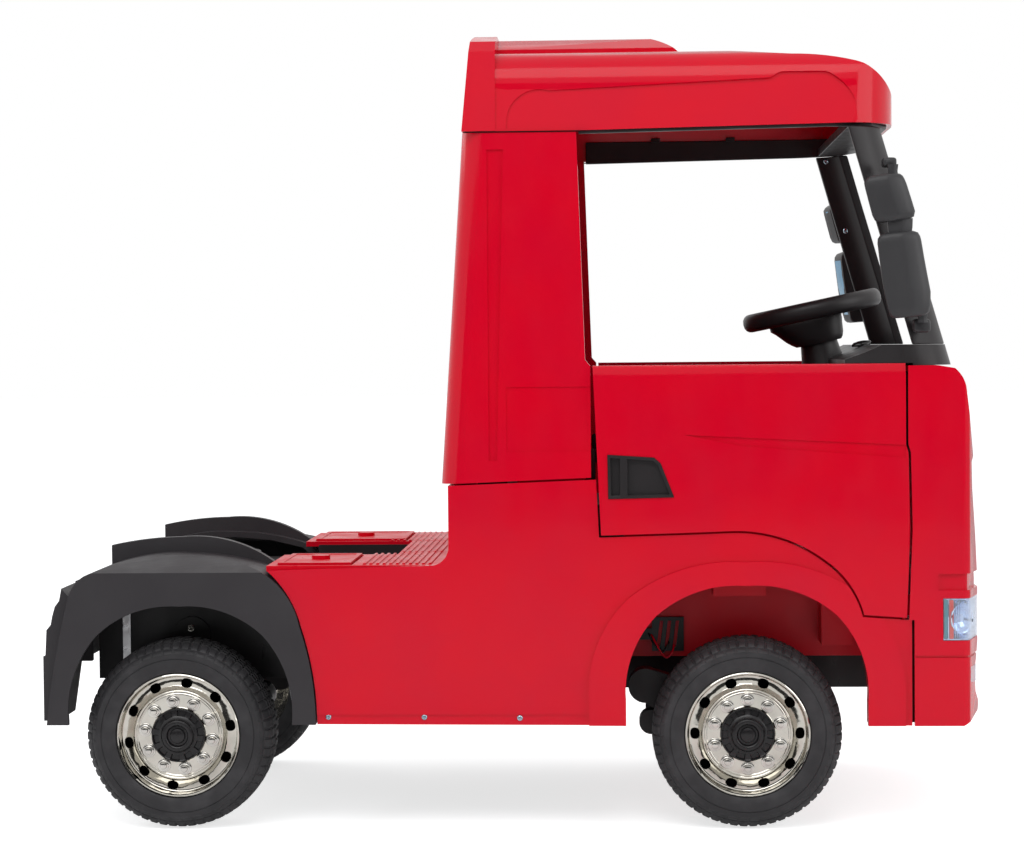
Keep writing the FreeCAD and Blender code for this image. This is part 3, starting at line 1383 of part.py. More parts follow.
def knuckle(side):
    """Steering knuckle moulded with the gear case; carries the motor, the stub axle and the steering arm."""
    barrel_r = 13.0
    case_gap = 26.0
    case_half = 15.0
    case_shares = [(1.0, 0.0), (1.0, 0.62), (0.87, 0.72), (0.06, 1.0), (0.0, 0.52), (0.78, -0.02)]
    case_low_z, case_height = tyre_r - 22.0, 99.0
    motor_x, motor_z, motor_r = front_axle_x - 138.0, tyre_r + 54.0, 24.0
    lower_x, lower_z, lower_r = motor_x + 8.0, tyre_r + 3.0, 17.0
    motor_proud = 4.0
    strap_width = 24.0
    web_half, web_half_height = 6.0, 20.0
    arm_z, arm_height, arm_end = tie_rod_z + 8.5, 8.5, 8.0
    fork_clear = fork_height - fork_ear - seat_gap
    inner_y = kingpin_y - case_half
    outer_y = tyre_face_y - tyre_width - thin_wall
    pin = V(front_axle_x, side * kingpin_y, tyre_r)
    barrel = rod(pin - V(0, 0, fork_clear), pin + V(0, 0, fork_clear), barrel_r)
    case_end_x = front_axle_x - case_gap
    case = side_prism(in_frame(motor_x, case_low_z, case_end_x - motor_x, case_height, case_shares),
                      side * inner_y, side * outer_y)
    motor = rod(V(motor_x, side * (inner_y - motor_proud), motor_z), V(motor_x, side * (outer_y + seam_gap), motor_z),
                motor_r)
    lower = rod(V(lower_x, side * (inner_y - motor_proud), lower_z), V(lower_x, side * (outer_y + sink), lower_z),
                lower_r)
    strap = block(motor_x, motor_x + strap_width, side * (inner_y + sink), side * (inner_y + 2 * web_half),
                  lower_z, motor_z)
    web = block(case_end_x - thin_wall, front_axle_x, side * (kingpin_y - web_half), side * (kingpin_y + web_half),
                tyre_r - web_half_height, tyre_r + web_half_height)
    root_y = kingpin_y + kingpin_r + seam_gap
    stub = rod(V(front_axle_x, side * root_y, tyre_r),
               V(front_axle_x, side * (wheel_y + tyre_width / 2 - axle_end_in), tyre_r), axle_r)
    arm = block(front_axle_x, front_axle_x + arm_length + arm_end, side * (kingpin_y - web_half),
                side * (kingpin_y + web_half), arm_z, arm_z + arm_height)
    eye = V(front_axle_x + arm_length, side * kingpin_y, arm_z + sink)
    tie_pin = rod(eye - V(0, 0, overrun - 2 * panel_gap), eye, tie_pin_r)
    body = fused([barrel, case, motor, lower, strap, web, stub, arm, tie_pin])
    return body.cut(rod(pin - V(0, 0, 2 * overrun), pin + V(0, 0, 2 * overrun), kingpin_r + running_fit))


def tie_rod():
    """Rod in front of the axle that keeps both knuckles parallel, with an eye on each arm's pin."""
    bar_r = 4.0
    eye_r = 9.0
    eye_half = 5.0
    x = front_axle_x + arm_length
    end_y = kingpin_y - eye_r + seam_gap
    pieces = [rod(V(x, -end_y, tie_rod_z), V(x, end_y, tie_rod_z), bar_r)]
    holes = []
    for side in (-1, 1):
        eye = V(x, side * kingpin_y, tie_rod_z)
        pieces.append(rod(eye - V(0, 0, eye_half), eye + V(0, 0, eye_half), eye_r))
        holes.append(rod(eye - V(0, 0, overrun), eye + V(0, 0, overrun), tie_pin_r + seat_gap))
    return fused(pieces).cut(Part.Compound(holes))


def rear_axle():
    reach = wheel_y + tyre_width / 2 - axle_end_in
    return rod(V(rear_axle_x, -reach, tyre_r), V(rear_axle_x, reach, tyre_r), axle_r)


def rear_gearboxes():
    """Gear case beside each rear wheel with its motor lying forward of the axle."""
    inner_y, outer_y = 128.0, 164.0
    motor_ahead, motor_up, motor_r, motor_inner_y = 88.0, 30.0, 20.0, 92.0
    case_r = 30.0
    case_low, case_high = 10.0, 50.0
    cases = []
    for side in (-1, 1):
        x, z = rear_axle_x, tyre_r
        outline = [(x, z - case_r), (x + motor_ahead, z + case_low), (x + motor_ahead, z + case_high), (x, z + case_r),
                   [(x - case_r, z), (x, z - case_r)]]
        case = side_prism(outline, side * inner_y, side * outer_y)
        motor = rod(V(x + motor_ahead, side * motor_inner_y, z + motor_up),
                    V(x + motor_ahead, side * (outer_y - panel_gap), z + motor_up), motor_r)
        bore = rod(V(x, side * (inner_y - overrun), z), V(x, side * (outer_y + overrun), z), axle_r + seat_gap)
        cases.append(fused([case, motor]).cut(bore))
    return cases


def save_pair(name, right):
    save(name + "_right", right)
    save(name + "_left", mirrored(right))


save_pair("body_side", body_side())
save("rear_deck", rear_deck())
save("deck_covers", *deck_covers())
save("deck_insert", deck_insert())
save("coupling_plate", coupling_plate())
save_pair("fender", fender())
save("rear_panel", rear_panel())
save("tail_lamps", *tail_lamps())
save("cab_rear_shell", cab_rear_shell())
save("a_pillars", a_pillars())
save("roof_shell", roof_shell())
save("roof_frame", roof_frame())
save("front_fascia", front_fascia())
save("front_lamps", *front_lamps())
save("grille", *grille())
save("dashboard", dashboard())
save("steering_wheel", steering_wheel())
right_mirror = mirror_housing()
save("mirror_housings", right_mirror, mirrored(right_mirror))
right_glass = Part.Compound(mirror_glass())
save("mirror_glasses", right_glass, mirrored(right_glass))
save_pair("door", door())
save_pair("door_handle", door_handle())
save("floor_pan", floor_pan())
save("pedal", pedal())
save("chassis_frame", chassis_frame())
save("rear_struts", *rear_struts())
save("battery", battery())
save("seat", seat())
save("seat_base", seat_base())
save("front_axle", front_axle())
save("knuckle_right", knuckle(-1))
save("knuckle_left", knuckle(1))
save("tie_rod", tie_rod())
save("rear_axle", rear_axle())
save("rear_gearboxes", *rear_gearboxes())
wheel("front_right", front_axle_x, -1)
wheel("front_left", front_axle_x, 1)
wheel("rear_right", rear_axle_x, -1)
wheel("rear_left", rear_axle_x, 1)
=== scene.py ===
import json
import math

import bmesh
import bpy
from mathutils import Matrix, Vector


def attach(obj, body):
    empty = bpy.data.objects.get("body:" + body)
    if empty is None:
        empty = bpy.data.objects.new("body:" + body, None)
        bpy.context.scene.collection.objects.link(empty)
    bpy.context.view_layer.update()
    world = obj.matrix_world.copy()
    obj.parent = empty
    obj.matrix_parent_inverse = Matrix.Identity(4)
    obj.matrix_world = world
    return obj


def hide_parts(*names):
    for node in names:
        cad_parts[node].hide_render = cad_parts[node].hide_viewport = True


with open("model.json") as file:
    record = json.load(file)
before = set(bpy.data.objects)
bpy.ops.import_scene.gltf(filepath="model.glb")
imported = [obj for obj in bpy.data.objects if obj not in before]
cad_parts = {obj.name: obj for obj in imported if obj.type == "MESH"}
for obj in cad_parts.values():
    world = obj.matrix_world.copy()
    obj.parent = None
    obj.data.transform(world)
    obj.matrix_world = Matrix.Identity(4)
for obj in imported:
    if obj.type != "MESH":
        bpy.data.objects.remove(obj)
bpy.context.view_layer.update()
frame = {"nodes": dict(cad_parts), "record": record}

MM = 0.001
SIDES = (("right", -1), ("left", 1))

# Sizes that repeat the part's own, in millimetres, and the rear wheels' turn at rest in degrees
FRONT_AXLE_X, REAR_AXLE_X, WHEEL_Y, TYRE_R = 323.0, -457.0, 251.0, 130.0
SKIRT_FACE_Y = 313.0
REAR_PHASE = 9.5
WHEELS = [("front_right", FRONT_AXLE_X, -1), ("front_left", FRONT_AXLE_X, 1),
          ("rear_right", REAR_AXLE_X, -1), ("rear_left", REAR_AXLE_X, 1)]


# Materials

class Nodes:
    """A new material's node tree, with short calls for the nodes used here."""

    def __init__(self, name):
        self.material = bpy.data.materials.new(name)
        self.material.use_nodes = True
        self.tree = self.material.node_tree
        self.tree.nodes.clear()
        self.out = self.tree.nodes.new("ShaderNodeOutputMaterial")
        self.coords = self.tree.nodes.new("ShaderNodeTexCoord").outputs["Object"]

    def add(self, kind, inputs=None, **settings):
        node = self.tree.nodes.new("ShaderNode" + kind)
        for key, value in settings.items():
            setattr(node, key, value)
        for key, value in (inputs or {}).items():
            if isinstance(value, bpy.types.NodeSocket):
                self.tree.links.new(value, node.inputs[key])
            else:
                node.inputs[key].default_value = value
        return node

    def noise(self, scale, detail=4.0, stretch=None):
        place = self.coords
        if stretch:
            place = self.add("Mapping", {"Vector": self.coords, "Scale": stretch}).outputs[0]
        return self.add("TexNoise", {"Vector": place, "Scale": scale, "Detail": detail}).outputs["Fac"]

    def ramp(self, value, low, high, low_out, high_out):
        made = self.add("MapRange", {"Value": value, "From Min": low, "From Max": high,
                                     "To Min": low_out, "To Max": high_out})
        return made.outputs[0]

    def patches(self, scale, detail, low, high):
        """Noise spread out between two of its levels, to 0 and 1."""
        return self.ramp(self.noise(scale, detail), low, high, 0.0, 1.0)

    def mix(self, factor, first, second):
        """A colour between two; the Mix node's colour sockets go by number."""
        node = self.add("Mix", data_type="RGBA", blend_type="MIX")
        for key, value in ((0, factor), (6, first), (7, second)):
            if isinstance(value, bpy.types.NodeSocket):
                self.tree.links.new(value, node.inputs[key])
            else:
                node.inputs[key].default_value = value
        return node.outputs[2]

    def bump(self, height, strength, distance, normal=None):
        inputs = {"Height": height, "Strength": strength, "Distance": distance}
        if normal is not None:
            inputs["Normal"] = normal
        return self.add("Bump", inputs).outputs[0]

    def finish(self, shader):
        self.tree.links.new(shader, self.out.inputs["Surface"])
        return self.material


COAT_ROUGH = 0.04
UPRIGHT_SMEAR = (1.0, 1.0, 0.35)


def rgba(r, g, b):
    return (r, g, b, 1.0)


def plastic(name, colour, dusty, rough, rough_spread, coat=0.0, grain=None, grain_depth=0.0, wave=0.0,
            gloss=0.3):
    """Moulded plastic: a little colour drift, uneven gloss, fine grain and a slow wave in the surface."""
    n = Nodes(name)
    tone = n.mix(n.patches(9.0, 5.0, 0.35, 0.75), rgba(*colour), rgba(*dusty))
    smear = n.ramp(n.noise(26.0, 6.0, UPRIGHT_SMEAR), 0.3, 0.7, rough - rough_spread, rough + rough_spread)
    normal = n.bump(n.noise(14.0, 1.0), 1.0, wave)
    if grain:
        normal = n.bump(n.noise(grain, 2.0), 1.0, grain_depth, normal)
    shader = n.add("BsdfPrincipled", {"Base Color": tone, "Roughness": smear, "Normal": normal,
                                      "Coat Weight": coat, "Coat Roughness": COAT_ROUGH,
                                      "Specular IOR Level": gloss})
    return n.finish(shader.outputs[0])


def metal(name, colour, dark, rough, spread, brush=None, wave=0.0):
    """Bright metal or chrome plating with patches of haze; brush stretches them along a direction."""
    n = Nodes(name)
    tone = n.mix(n.patches(30.0, 5.0, 0.4, 0.7), rgba(*colour), rgba(*dark))
    haze = n.ramp(n.noise(60.0, 6.0, brush), 0.3, 0.7, rough - spread, rough + spread)
    normal = n.bump(n.noise(40.0, 2.0), 1.0, wave)
    shader = n.add("BsdfPrincipled", {"Base Color": tone, "Roughness": haze, "Normal": normal,
                                      "Metallic": 1.0})
    return n.finish(shader.outputs[0])


def rubber(name):
    """Moulded foam rubber, a little lighter where it is worn, with a fine speckle."""
    n = Nodes(name)
    worn = n.patches(35.0, 7.0, 0.42, 0.72)
    tone = n.mix(worn, rgba(0.021, 0.020, 0.022), rgba(0.040, 0.038, 0.041))
    normal = n.bump(n.noise(900.0, 3.0), 1.0, 0.00012)
    rough = n.ramp(n.noise(50.0, 5.0), 0.3, 0.7, 0.50, 0.68)
    shader = n.add("BsdfPrincipled", {"Base Color": tone, "Roughness": rough, "Normal": normal,
                                      "Specular IOR Level": 0.4})
    return n.finish(shader.outputs[0])


def clear_lens(name, tint, see_through):
    """Clear plastic lens: mostly lets the lamp show, with gloss on top."""
    n = Nodes(name)
    rough = n.ramp(n.noise(80.0, 3.0), 0.3, 0.7, 0.03, 0.08)
    gloss = n.add("BsdfPrincipled", {"Base Color": rgba(*tint), "Roughness": rough,
                                     "Specular IOR Level": 0.8})
    clear = n.add("BsdfTransparent", {"Color": rgba(*tint)})
    edge = n.add("LayerWeight", {"Blend": 0.25}).outputs["Facing"]
    share = n.ramp(edge, 0.0, 1.0, 1.0 - see_through, 0.75)
    mixed = n.add("MixShader", {0: share})
    n.tree.links.new(clear.outputs[0], mixed.inputs[1])
    n.tree.links.new(gloss.outputs[0], mixed.inputs[2])
    return n.finish(mixed.outputs[0])


def mirror_foil(name):
    """Reflective foil under a pale blue protective film."""
    n = Nodes(name)
    tone = n.mix(n.patches(12.0, 3.0, 0.35, 0.65), rgba(0.16, 0.42, 0.66), rgba(0.42, 0.66, 0.85))
    normal = n.bump(n.noise(25.0, 2.0), 1.0, 0.0008)
    shader = n.add("BsdfPrincipled", {"Base Color": tone, "Roughness": 0.12, "Metallic": 0.6,
                                      "Normal": normal})
    return n.finish(shader.outputs[0])


RED = plastic("body_red", (0.67, 0.0004, 0.016), (0.62, 0.0008, 0.020), 0.16, 0.05, coat=0.10, grain=420.0,
              grain_depth=0.00002, wave=0.0005, gloss=0.18)
RED_DECK = plastic("deck_red", (0.67, 0.0008, 0.014), (0.62, 0.0012, 0.016), 0.34, 0.08, grain=700.0,
                   grain_depth=0.00005, wave=0.0003, gloss=0.10)
RED_INNER = plastic("inner_red", (0.62, 0.0006, 0.013), (0.55, 0.0008, 0.013), 0.36, 0.08, grain=500.0,
                    grain_depth=0.00006, wave=0.0003, gloss=0.22)
GREY = plastic("fender_grey", (0.029, 0.026, 0.029), (0.038, 0.035, 0.038), 0.50, 0.07, grain=1400.0,
               grain_depth=0.00010, wave=0.0003)
BLACK = plastic("black_plastic", (0.016, 0.013, 0.014), (0.023, 0.020, 0.021), 0.40, 0.08, grain=1500.0,
                grain_depth=0.00008, wave=0.0002)
MIRROR_GREY = plastic("mirror_plastic", (0.032, 0.031, 0.033), (0.042, 0.041, 0.043), 0.42, 0.06,
                      grain=1200.0, grain_depth=0.00008, wave=0.0002)
CHASSIS = plastic("chassis_black", (0.008, 0.007, 0.008), (0.014, 0.012, 0.013), 0.36, 0.10, grain=700.0,
                  grain_depth=0.00008, wave=0.0004)
GLOSS_BLACK = plastic("grille_black", (0.008, 0.008, 0.009), (0.012, 0.012, 0.013), 0.16, 0.05, coat=0.3)
HUB_BLACK = plastic("hub_black", (0.009, 0.008, 0.009), (0.014, 0.013, 0.014), 0.26, 0.07, wave=0.0002,
                    gloss=0.4)
# Near black for the walls of the rim's hand holes: painted shade for the dark insides of the holes
HOLE_PAINTED_SHADE = plastic("hole_painted_shade", (0.004, 0.004, 0.004), (0.006, 0.006, 0.006), 0.7, 0.05, gloss=0.1)
# Near black for the fold pieces behind the seams: painted shade in the gaps between the body parts
SEAM_PAINTED_SHADE = plastic("seam_painted_shade", (0.020, 0.002, 0.003), (0.014, 0.002, 0.002), 0.5, 0.08, gloss=0.1)
SEAT = plastic("seat_plastic", (0.022, 0.022, 0.024), (0.030, 0.030, 0.032), 0.52, 0.06, grain=600.0,
               grain_depth=0.0002, wave=0.0003)
BATTERY = plastic("battery_case", (0.035, 0.036, 0.045), (0.045, 0.046, 0.055), 0.40, 0.06, grain=900.0,
                  grain_depth=0.00005)
LENS_RED = plastic("lamp_red", (0.42, 0.004, 0.006), (0.36, 0.003, 0.005), 0.10, 0.03, coat=0.6)
TYRE = rubber("foam_tyre")
CHROME = metal("rim_chrome", (0.60, 0.575, 0.52), (0.50, 0.48, 0.43), 0.09, 0.04, wave=0.0010)
NUT_CHROME = metal("nut_chrome", (0.66, 0.64, 0.60), (0.52, 0.50, 0.47), 0.15, 0.05, wave=0.0002)
STEEL = metal("axle_steel", (0.48, 0.48, 0.49), (0.36, 0.36, 0.37), 0.32, 0.08, (1.0, 12.0, 1.0))
STRUT = metal("strut_grey", (0.56, 0.56, 0.57), (0.50, 0.50, 0.51), 0.30, 0.04, wave=0.0010)
SCREW = metal("screw_zinc", (0.50, 0.62, 0.70), (0.38, 0.48, 0.56), 0.22, 0.06)
REFLECTOR = metal("lamp_reflector", (0.80, 0.86, 0.96), (0.62, 0.70, 0.84), 0.12, 0.05, wave=0.0015)
BULB = plastic("lamp_bulb", (0.90, 0.93, 0.97), (0.84, 0.88, 0.95), 0.12, 0.04)
TEAL = plastic("lamp_teal", (0.06, 0.30, 0.33), (0.045, 0.24, 0.27), 0.15, 0.04, coat=0.4)
AMBER = plastic("lamp_amber", (0.86, 0.060, 0.025), (0.78, 0.045, 0.020), 0.15, 0.04, coat=0.4)
LENS = clear_lens("lamp_clear", (0.90, 0.94, 1.0), 0.88)
FOIL = mirror_foil("mirror_foil")
FILMS = {"body_red": RED, "inner_red": RED_INNER, "fender_grey": GREY, "black_plastic": BLACK,
         "mirror_plastic": MIRROR_GREY, "chassis_black": CHASSIS, "grille_black": GLOSS_BLACK,
         "seat_plastic": SEAT, "battery_case": BATTERY, "lamp_red": LENS_RED, "foam_tyre": TYRE,
         "rim_chrome": CHROME, "axle_steel": STEEL, "strut_grey": STRUT, "lamp_clear": LENS,
         "mirror_foil": FOIL}
slot_of = {row["node"]: row["material_slot"] for row in frame["record"]["subparts"]}
for node, piece in frame["nodes"].items():
    for held in piece.material_slots:
        held.material = FILMS[slot_of[node]]
for node in ("rear_deck", "deck_covers"):
    for held in frame["nodes"][node].material_slots:
        held.material = RED_DECK


# Rounded edges on the moulded parts

WELD_REACH, BEVEL_ANGLE = 0.02, 28.0
SOFT_EDGES = {"door_right": (2.0, 3), "door_left": (2.0, 3), "seat": (9.0, 4),
              "body_side_right": (1.8, 3), "body_side_left": (1.8, 3),
              "fender_right": (2.0, 3), "fender_left": (2.0, 3), "cab_rear_shell": (1.6, 3),
              "roof_shell": (2.0, 3), "front_fascia": (1.6, 3), "a_pillars": (2.0, 3), "roof_frame": (1.5, 2),
              "dashboard": (2.5, 3), "rear_deck": (0.8, 2), "deck_covers": (1.2, 2), "deck_insert": (1.2, 2),
              "coupling_plate": (1.2, 2), "rear_panel": (1.5, 2), "floor_pan": (2.0, 2),
              "chassis_frame": (1.5, 2), "pedal": (2.0, 2), "door_handle_right": (0.8, 2),
              "door_handle_left": (0.8, 2), "rear_gearboxes": (1.5, 2), "knuckle_right": (1.2, 2),
              "knuckle_left": (1.2, 2), "front_axle": (1.0, 2), "grille": (0.6, 2), "battery": (2.0, 2)}


def soften(piece, width, segments):
    """Welds the faces' split corners, rounds the sharp edges and evens the shading."""
    weld = piece.modifiers.new("weld", "WELD")
    weld.merge_threshold = WELD_REACH * MM
    bevel = piece.modifiers.new("edges", "BEVEL")
    bevel.width = width * MM
    bevel.segments = segments
    bevel.limit_method = "ANGLE"
    bevel.angle_limit = math.radians(BEVEL_ANGLE)
    bevel.harden_normals = False
    even = piece.modifiers.new("shading", "WEIGHTED_NORMAL")
    even.keep_sharp = False


for node, (width, segments) in SOFT_EDGES.items():
    soften(frame["nodes"][node], width, segments)


# Mesh helpers

def turns(count):
    """The angles of a full turn in equal steps."""
    return [2 * math.pi * i / count for i in range(count)]


def squared(wave, power):
    """A sine or cosine pressed towards the sides of a square; power 1 leaves it as it is."""
    return math.copysign(abs(wave) ** power, wave)


def shown(name, verts, faces, material, body, slot, sharp=32.0):
    """A mesh piece, given in millimetres, that rides on a body. The slot argument is not used."""
    mesh = bpy.data.meshes.new(name)
    mesh.from_pydata([Vector(v) * MM for v in verts], [], faces)
    work = bmesh.new()
    work.from_mesh(mesh)
    bmesh.ops.recalc_face_normals(work, faces=work.faces)
    work.to_mesh(mesh)
    work.free()
    mesh.shade_smooth()
    mesh.set_sharp_from_angle(angle=math.radians(sharp))
    mesh.materials.append(material)
    piece = bpy.data.objects.new(name, mesh)
    bpy.context.scene.collection.objects.link(piece)
    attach(piece, body)
    return piece


def polar_grid(stations, steps, point):
    """Verts and faces of a grid round an axis; a station of radius 0 is one shared vertex."""
    verts, rings, faces = [], [], []
    for station in stations:
        if station[0] == 0:
            verts.append(point(station, 0))
            rings.append([len(verts) - 1] * steps)
            continue
        ring = []
        for i in range(steps):
            verts.append(point(station, i))
            ring.append(len(verts) - 1)
        rings.append(ring)
    for low, high in zip(rings, rings[1:]):
        for i in range(steps):
            k = (i + 1) % steps
            corners = [low[i], low[k], high[k], high[i]]
            faces.append([c for n, c in enumerate(corners) if c not in corners[:n]])
    return verts, faces


def around(radius, along, angle, place):
    """A point at a radius and angle round the Y axis through a wheel's centre, along it outward."""
    x, y, z, side, phase = place
    return (x + radius * math.cos(angle + phase), y + side * along, z + radius * math.sin(angle + phase))


def lathe(stations, steps, place):
    """Stations of radius and offset turned round a wheel's axis."""
    angles = turns(steps)
    return polar_grid(stations, steps, lambda station, i: around(*station, angles[i], place))


def joined(parts):
    """One list of verts and faces from several."""
    verts, faces = [], []
    for some_verts, some_faces in parts:
        faces += [[len(verts) + c for c in face] for face in some_faces]
        verts += some_verts
    return verts, faces


def loft(rings):
    """A closed skin over rings of the same count, capped at both ends."""
    count = len(rings[0])
    verts = [v for ring in rings for v in ring]
    faces = [list(range(count)), list(range((len(rings) - 1) * count, len(rings) * count))]
    for low in range(0, (len(rings) - 1) * count, count):
        for i in range(count):
            k = (i + 1) % count
            faces.append([low + i, low + k, low + count + k, low + count + i])
    return verts, faces


def rounded_ring(half_x, half_y, power, place, lift, shift=0.0, count=40):
    """A level ring between an ellipse, at power 2, and a rectangle, at a high power."""
    ring = []
    for t in turns(count):
        x = squared(math.cos(t), 2 / power) * half_x + shift
        y = squared(math.sin(t), 2 / power) * half_y
        ring.append(place @ Vector((x, y, lift)))
    return ring


# Wheels

TYRE_STEPS = 480
SIDE_BLOCKS, TREAD_BLOCKS = 48, 60
TREAD_CUT, CUT_STEPS = 1.8, 2
GROOVE_DEPTH, GROOVE_LIP_HALF, GROOVE_FLOOR_HALF, RIB_MIDDLE = 4.6, 2.2, 1.4, 5.2
SHOULDER_R, SHOULDER_SPAN = 108.0, 20.0


def tyre_stations():
    """Half profile from the bead to the middle of the tread: radius, offset, cut depth and blocks round."""
    wall = [(85.4, 42.4), (86.4, 44.6), (89.6, 46.2), (96.5, 47.8), (103.8, 48.7), (104.8, 48.8),
            (105.1, 48.1), (106.0, 48.1), (106.3, 48.9), (110.0, 48.9), (112.3, 48.6)]
    side_blocks = [(112.9, 48.7, 0.0), (113.3, 48.9, 0.9), (115.4, 47.6, 1.1), (117.2, 45.8, 1.1),
                   (117.9, 44.6, 0.0)]
    shoulder = [(119.6, 43.2, 0.3), (121.0, 42.4, 1.6), (123.4, 39.6, 2.0), (125.6, 36.4, 2.2),
                (127.0, 33.6, 2.2)]
    grooves = [(30.0, 128.2), (19.0, 129.6), (7.0, 130.0)]
    stations = [(r, a, 0.0, 0) for r, a in wall]
    stations += [(r, a, d, SIDE_BLOCKS) for r, a, d in side_blocks]
    stations += [(118.4, 43.6, 0.0, 0), (119.0, 43.0, 0.0, 0)]
    stations += [(r, a, d, TREAD_BLOCKS) for r, a, d in shoulder]
    for middle, crest in grooves:
        floor = crest - GROOVE_DEPTH
        stations += [(crest - 0.5, middle + GROOVE_LIP_HALF, TREAD_CUT, TREAD_BLOCKS),
                     (floor, middle + GROOVE_FLOOR_HALF, 0.0, 0), (floor, middle - GROOVE_FLOOR_HALF, 0.0, 0),
                     (crest - 0.1, middle - GROOVE_LIP_HALF, TREAD_CUT, TREAD_BLOCKS),
                     (crest + (TYRE_R - crest) * 0.5, middle - RIB_MIDDLE, TREAD_CUT, TREAD_BLOCKS)]
    return stations


def treaded_tyre(name, place):
    """Foam tyre whose blocks are cut by narrow slots, half a block out of step on the two sides."""
    half = tyre_stations()
    angles = turns(TYRE_STEPS)
    stations = half + [(r, -a, d, b) for r, a, d, b in reversed(half)]
    stations += [(85.1, -40.0, 0.0, 0), (85.1, 40.0, 0.0, 0), half[0]]

    def point(station, i):
        radius, along, depth, blocks = station
        drop = 0.0
        if blocks:
            span = TYRE_STEPS // blocks
            shift = span // 2 if along < 0 else 0
            drop = depth if (i + shift) % span < CUT_STEPS else 0.0
        slope = min(1.0, max(0.0, (radius - SHOULDER_R) / SHOULDER_SPAN))
        inward = math.copysign(drop * (1 - slope), along)
        return around(radius - drop * slope, along - inward, angles[i], place)

    verts, faces = polar_grid(stations, TYRE_STEPS, point)
    piece = shown("tread_" + name, verts, faces, TYRE, "wheel_" + name, "foam_tyre", 26.0)
    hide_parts("tyre_" + name)


RIM_STEPS = 160
RIM_STATIONS = [(6.2, -39.0), (60.0, -39.0), (60.0, -8.0), (77.0, -8.0), (77.0, -39.0), (84.6, -39.0),
                (84.6, 41.0), (85.0, 43.6), (84.7, 45.2), (83.6, 46.0), (82.3, 45.5), (81.8, 43.6),
                (81.5, 39.0), (81.2, 34.0), (80.6, 31.0), (79.6, 29.4), (78.2, 28.7), (76.0, 28.6),
                (72.0, 29.2), (68.0, 30.4), (65.0, 32.0), (63.2, 33.8), (62.2, 35.8), (61.3, 37.1),
                (60.3, 37.5), (59.2, 37.2), (58.4, 36.3), (57.6, 36.4), (56.8, 37.0), (55.9, 36.7),
                (55.2, 36.1), (38.2, 36.1), (37.4, 36.7), (36.4, 36.5), (6.2, 36.3)]
HAND_HOLES, HOLE_CORNERS, HOLE_POWER = 10, 24, 0.8
HOLE_CIRCLE_R, HOLE_HALF_OUT, HOLE_HALF_ACROSS = 71.4, 6.5, 7.8
HOLE_INNER, HOLE_OUTER = 6.0, 60.0


def hole_cutter(place):
    """Rounded prisms for the rim's hand holes, in one mesh."""
    parts = []
    for angle in turns(HAND_HOLES):
        ring_low, ring_high = [], []
        for t in turns(HOLE_CORNERS):
            out = squared(math.cos(t), HOLE_POWER) * HOLE_HALF_OUT
            across = squared(math.sin(t), HOLE_POWER) * HOLE_HALF_ACROSS
            radius = math.hypot(HOLE_CIRCLE_R + out, across)
            turn = angle + math.atan2(across, HOLE_CIRCLE_R + out)
            ring_low.append(around(radius, HOLE_INNER, turn, place))
            ring_high.append(around(radius, HOLE_OUTER, turn, place))
        parts.append(loft([ring_low, ring_high]))
    return joined(parts)


def chrome_rim(name, place):
    """Chrome-look rim with its hand holes cut through; their walls are near black, painted shade for the
    holes' dark insides.
    """
    verts, faces = lathe(RIM_STATIONS + RIM_STATIONS[:1], RIM_STEPS, place)
    piece = shown("wheel_rim_" + name, verts, faces, CHROME, "wheel_" + name, "rim_chrome", 40.0)
    # The hole walls take the painted shade material, near black
    piece.data.materials.append(HOLE_PAINTED_SHADE)
    cutter = shown("cutter", *hole_cutter(place), HOLE_PAINTED_SHADE, "wheel_" + name, "rim_chrome")
    cut = piece.modifiers.new("holes", "BOOLEAN")
    cut.object = cutter
    cut.solver = "EXACT"
    cut.material_mode = "TRANSFER"
    bpy.context.view_layer.update()
    ready = bpy.data.meshes.new_from_object(piece.evaluated_get(bpy.context.evaluated_depsgraph_get()))
    piece.modifiers.clear()
    piece.data = ready
    piece.data.shade_smooth()
    piece.data.set_sharp_from_angle(angle=math.radians(34.0))
    bpy.data.objects.remove(cutter)
    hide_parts("rim_" + name)


HUB_STEPS, HUB_TURN = 160, 8.0
HUB_STATIONS = [(0, 50.6), (4.0, 50.4), (7.5, 49.9), (9.6, 49.2), (10.4, 48.0), (10.8, 46.4), (13.4, 46.2),
                (14.0, 47.0), (14.6, 49.4), (15.6, 50.6), (17.2, 51.2), (19.4, 51.0), (21.0, 50.2),
                (21.9, 48.8), (22.2, 46.4), (23.4, 45.0), (25.4, 44.4), (26.6, 43.6), (27.4, 43.2),
                (34.2, 42.6), (35.2, 43.2), (36.4, 43.2), (36.9, 42.6), (37.0, 37.4), (20.0, 37.4)]
POCKETS, POCKET_DEPTH, POCKET_LEVEL = 10, 3.4, 0.35
POCKET_INNER_R, POCKET_OUTER_R = 27.0, 34.5


def castellated_hub(name, place):
    """Hub cap: a ring of pockets between ribs round a stepped boss with a bare round cap."""

    def point(station, i):
        radius, along = station
        wave = math.cos(POCKETS * 2 * math.pi * i / HUB_STEPS)
        in_pocket = POCKET_INNER_R < radius < POCKET_OUTER_R and wave < POCKET_LEVEL
        sunk = along - (POCKET_DEPTH if in_pocket else 0.0)
        return around(radius, sunk, 2 * math.pi * (i + HUB_TURN) / HUB_STEPS, place)

    verts, faces = polar_grid(HUB_STATIONS, HUB_STEPS, point)
    piece = shown("hub_" + name, verts, faces, HUB_BLACK, "wheel_" + name, "black_plastic", 30.0)
    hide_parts("hub_cap_" + name)


NUT_COUNT, NUT_CIRCLE_R, NUT_STEPS = 10, 46.8, 28
NUT_STATIONS = [(0, 45.2), (3.5, 45.2), (4.2, 44.9), (4.6, 44.1), (4.7, 40.4), (6.2, 40.2), (6.8, 39.8),
                (7.0, 39.0), (7.1, 38.0), (8.6, 37.9), (9.1, 37.6), (9.3, 37.0), (9.3, 36.2), (0, 36.2)]


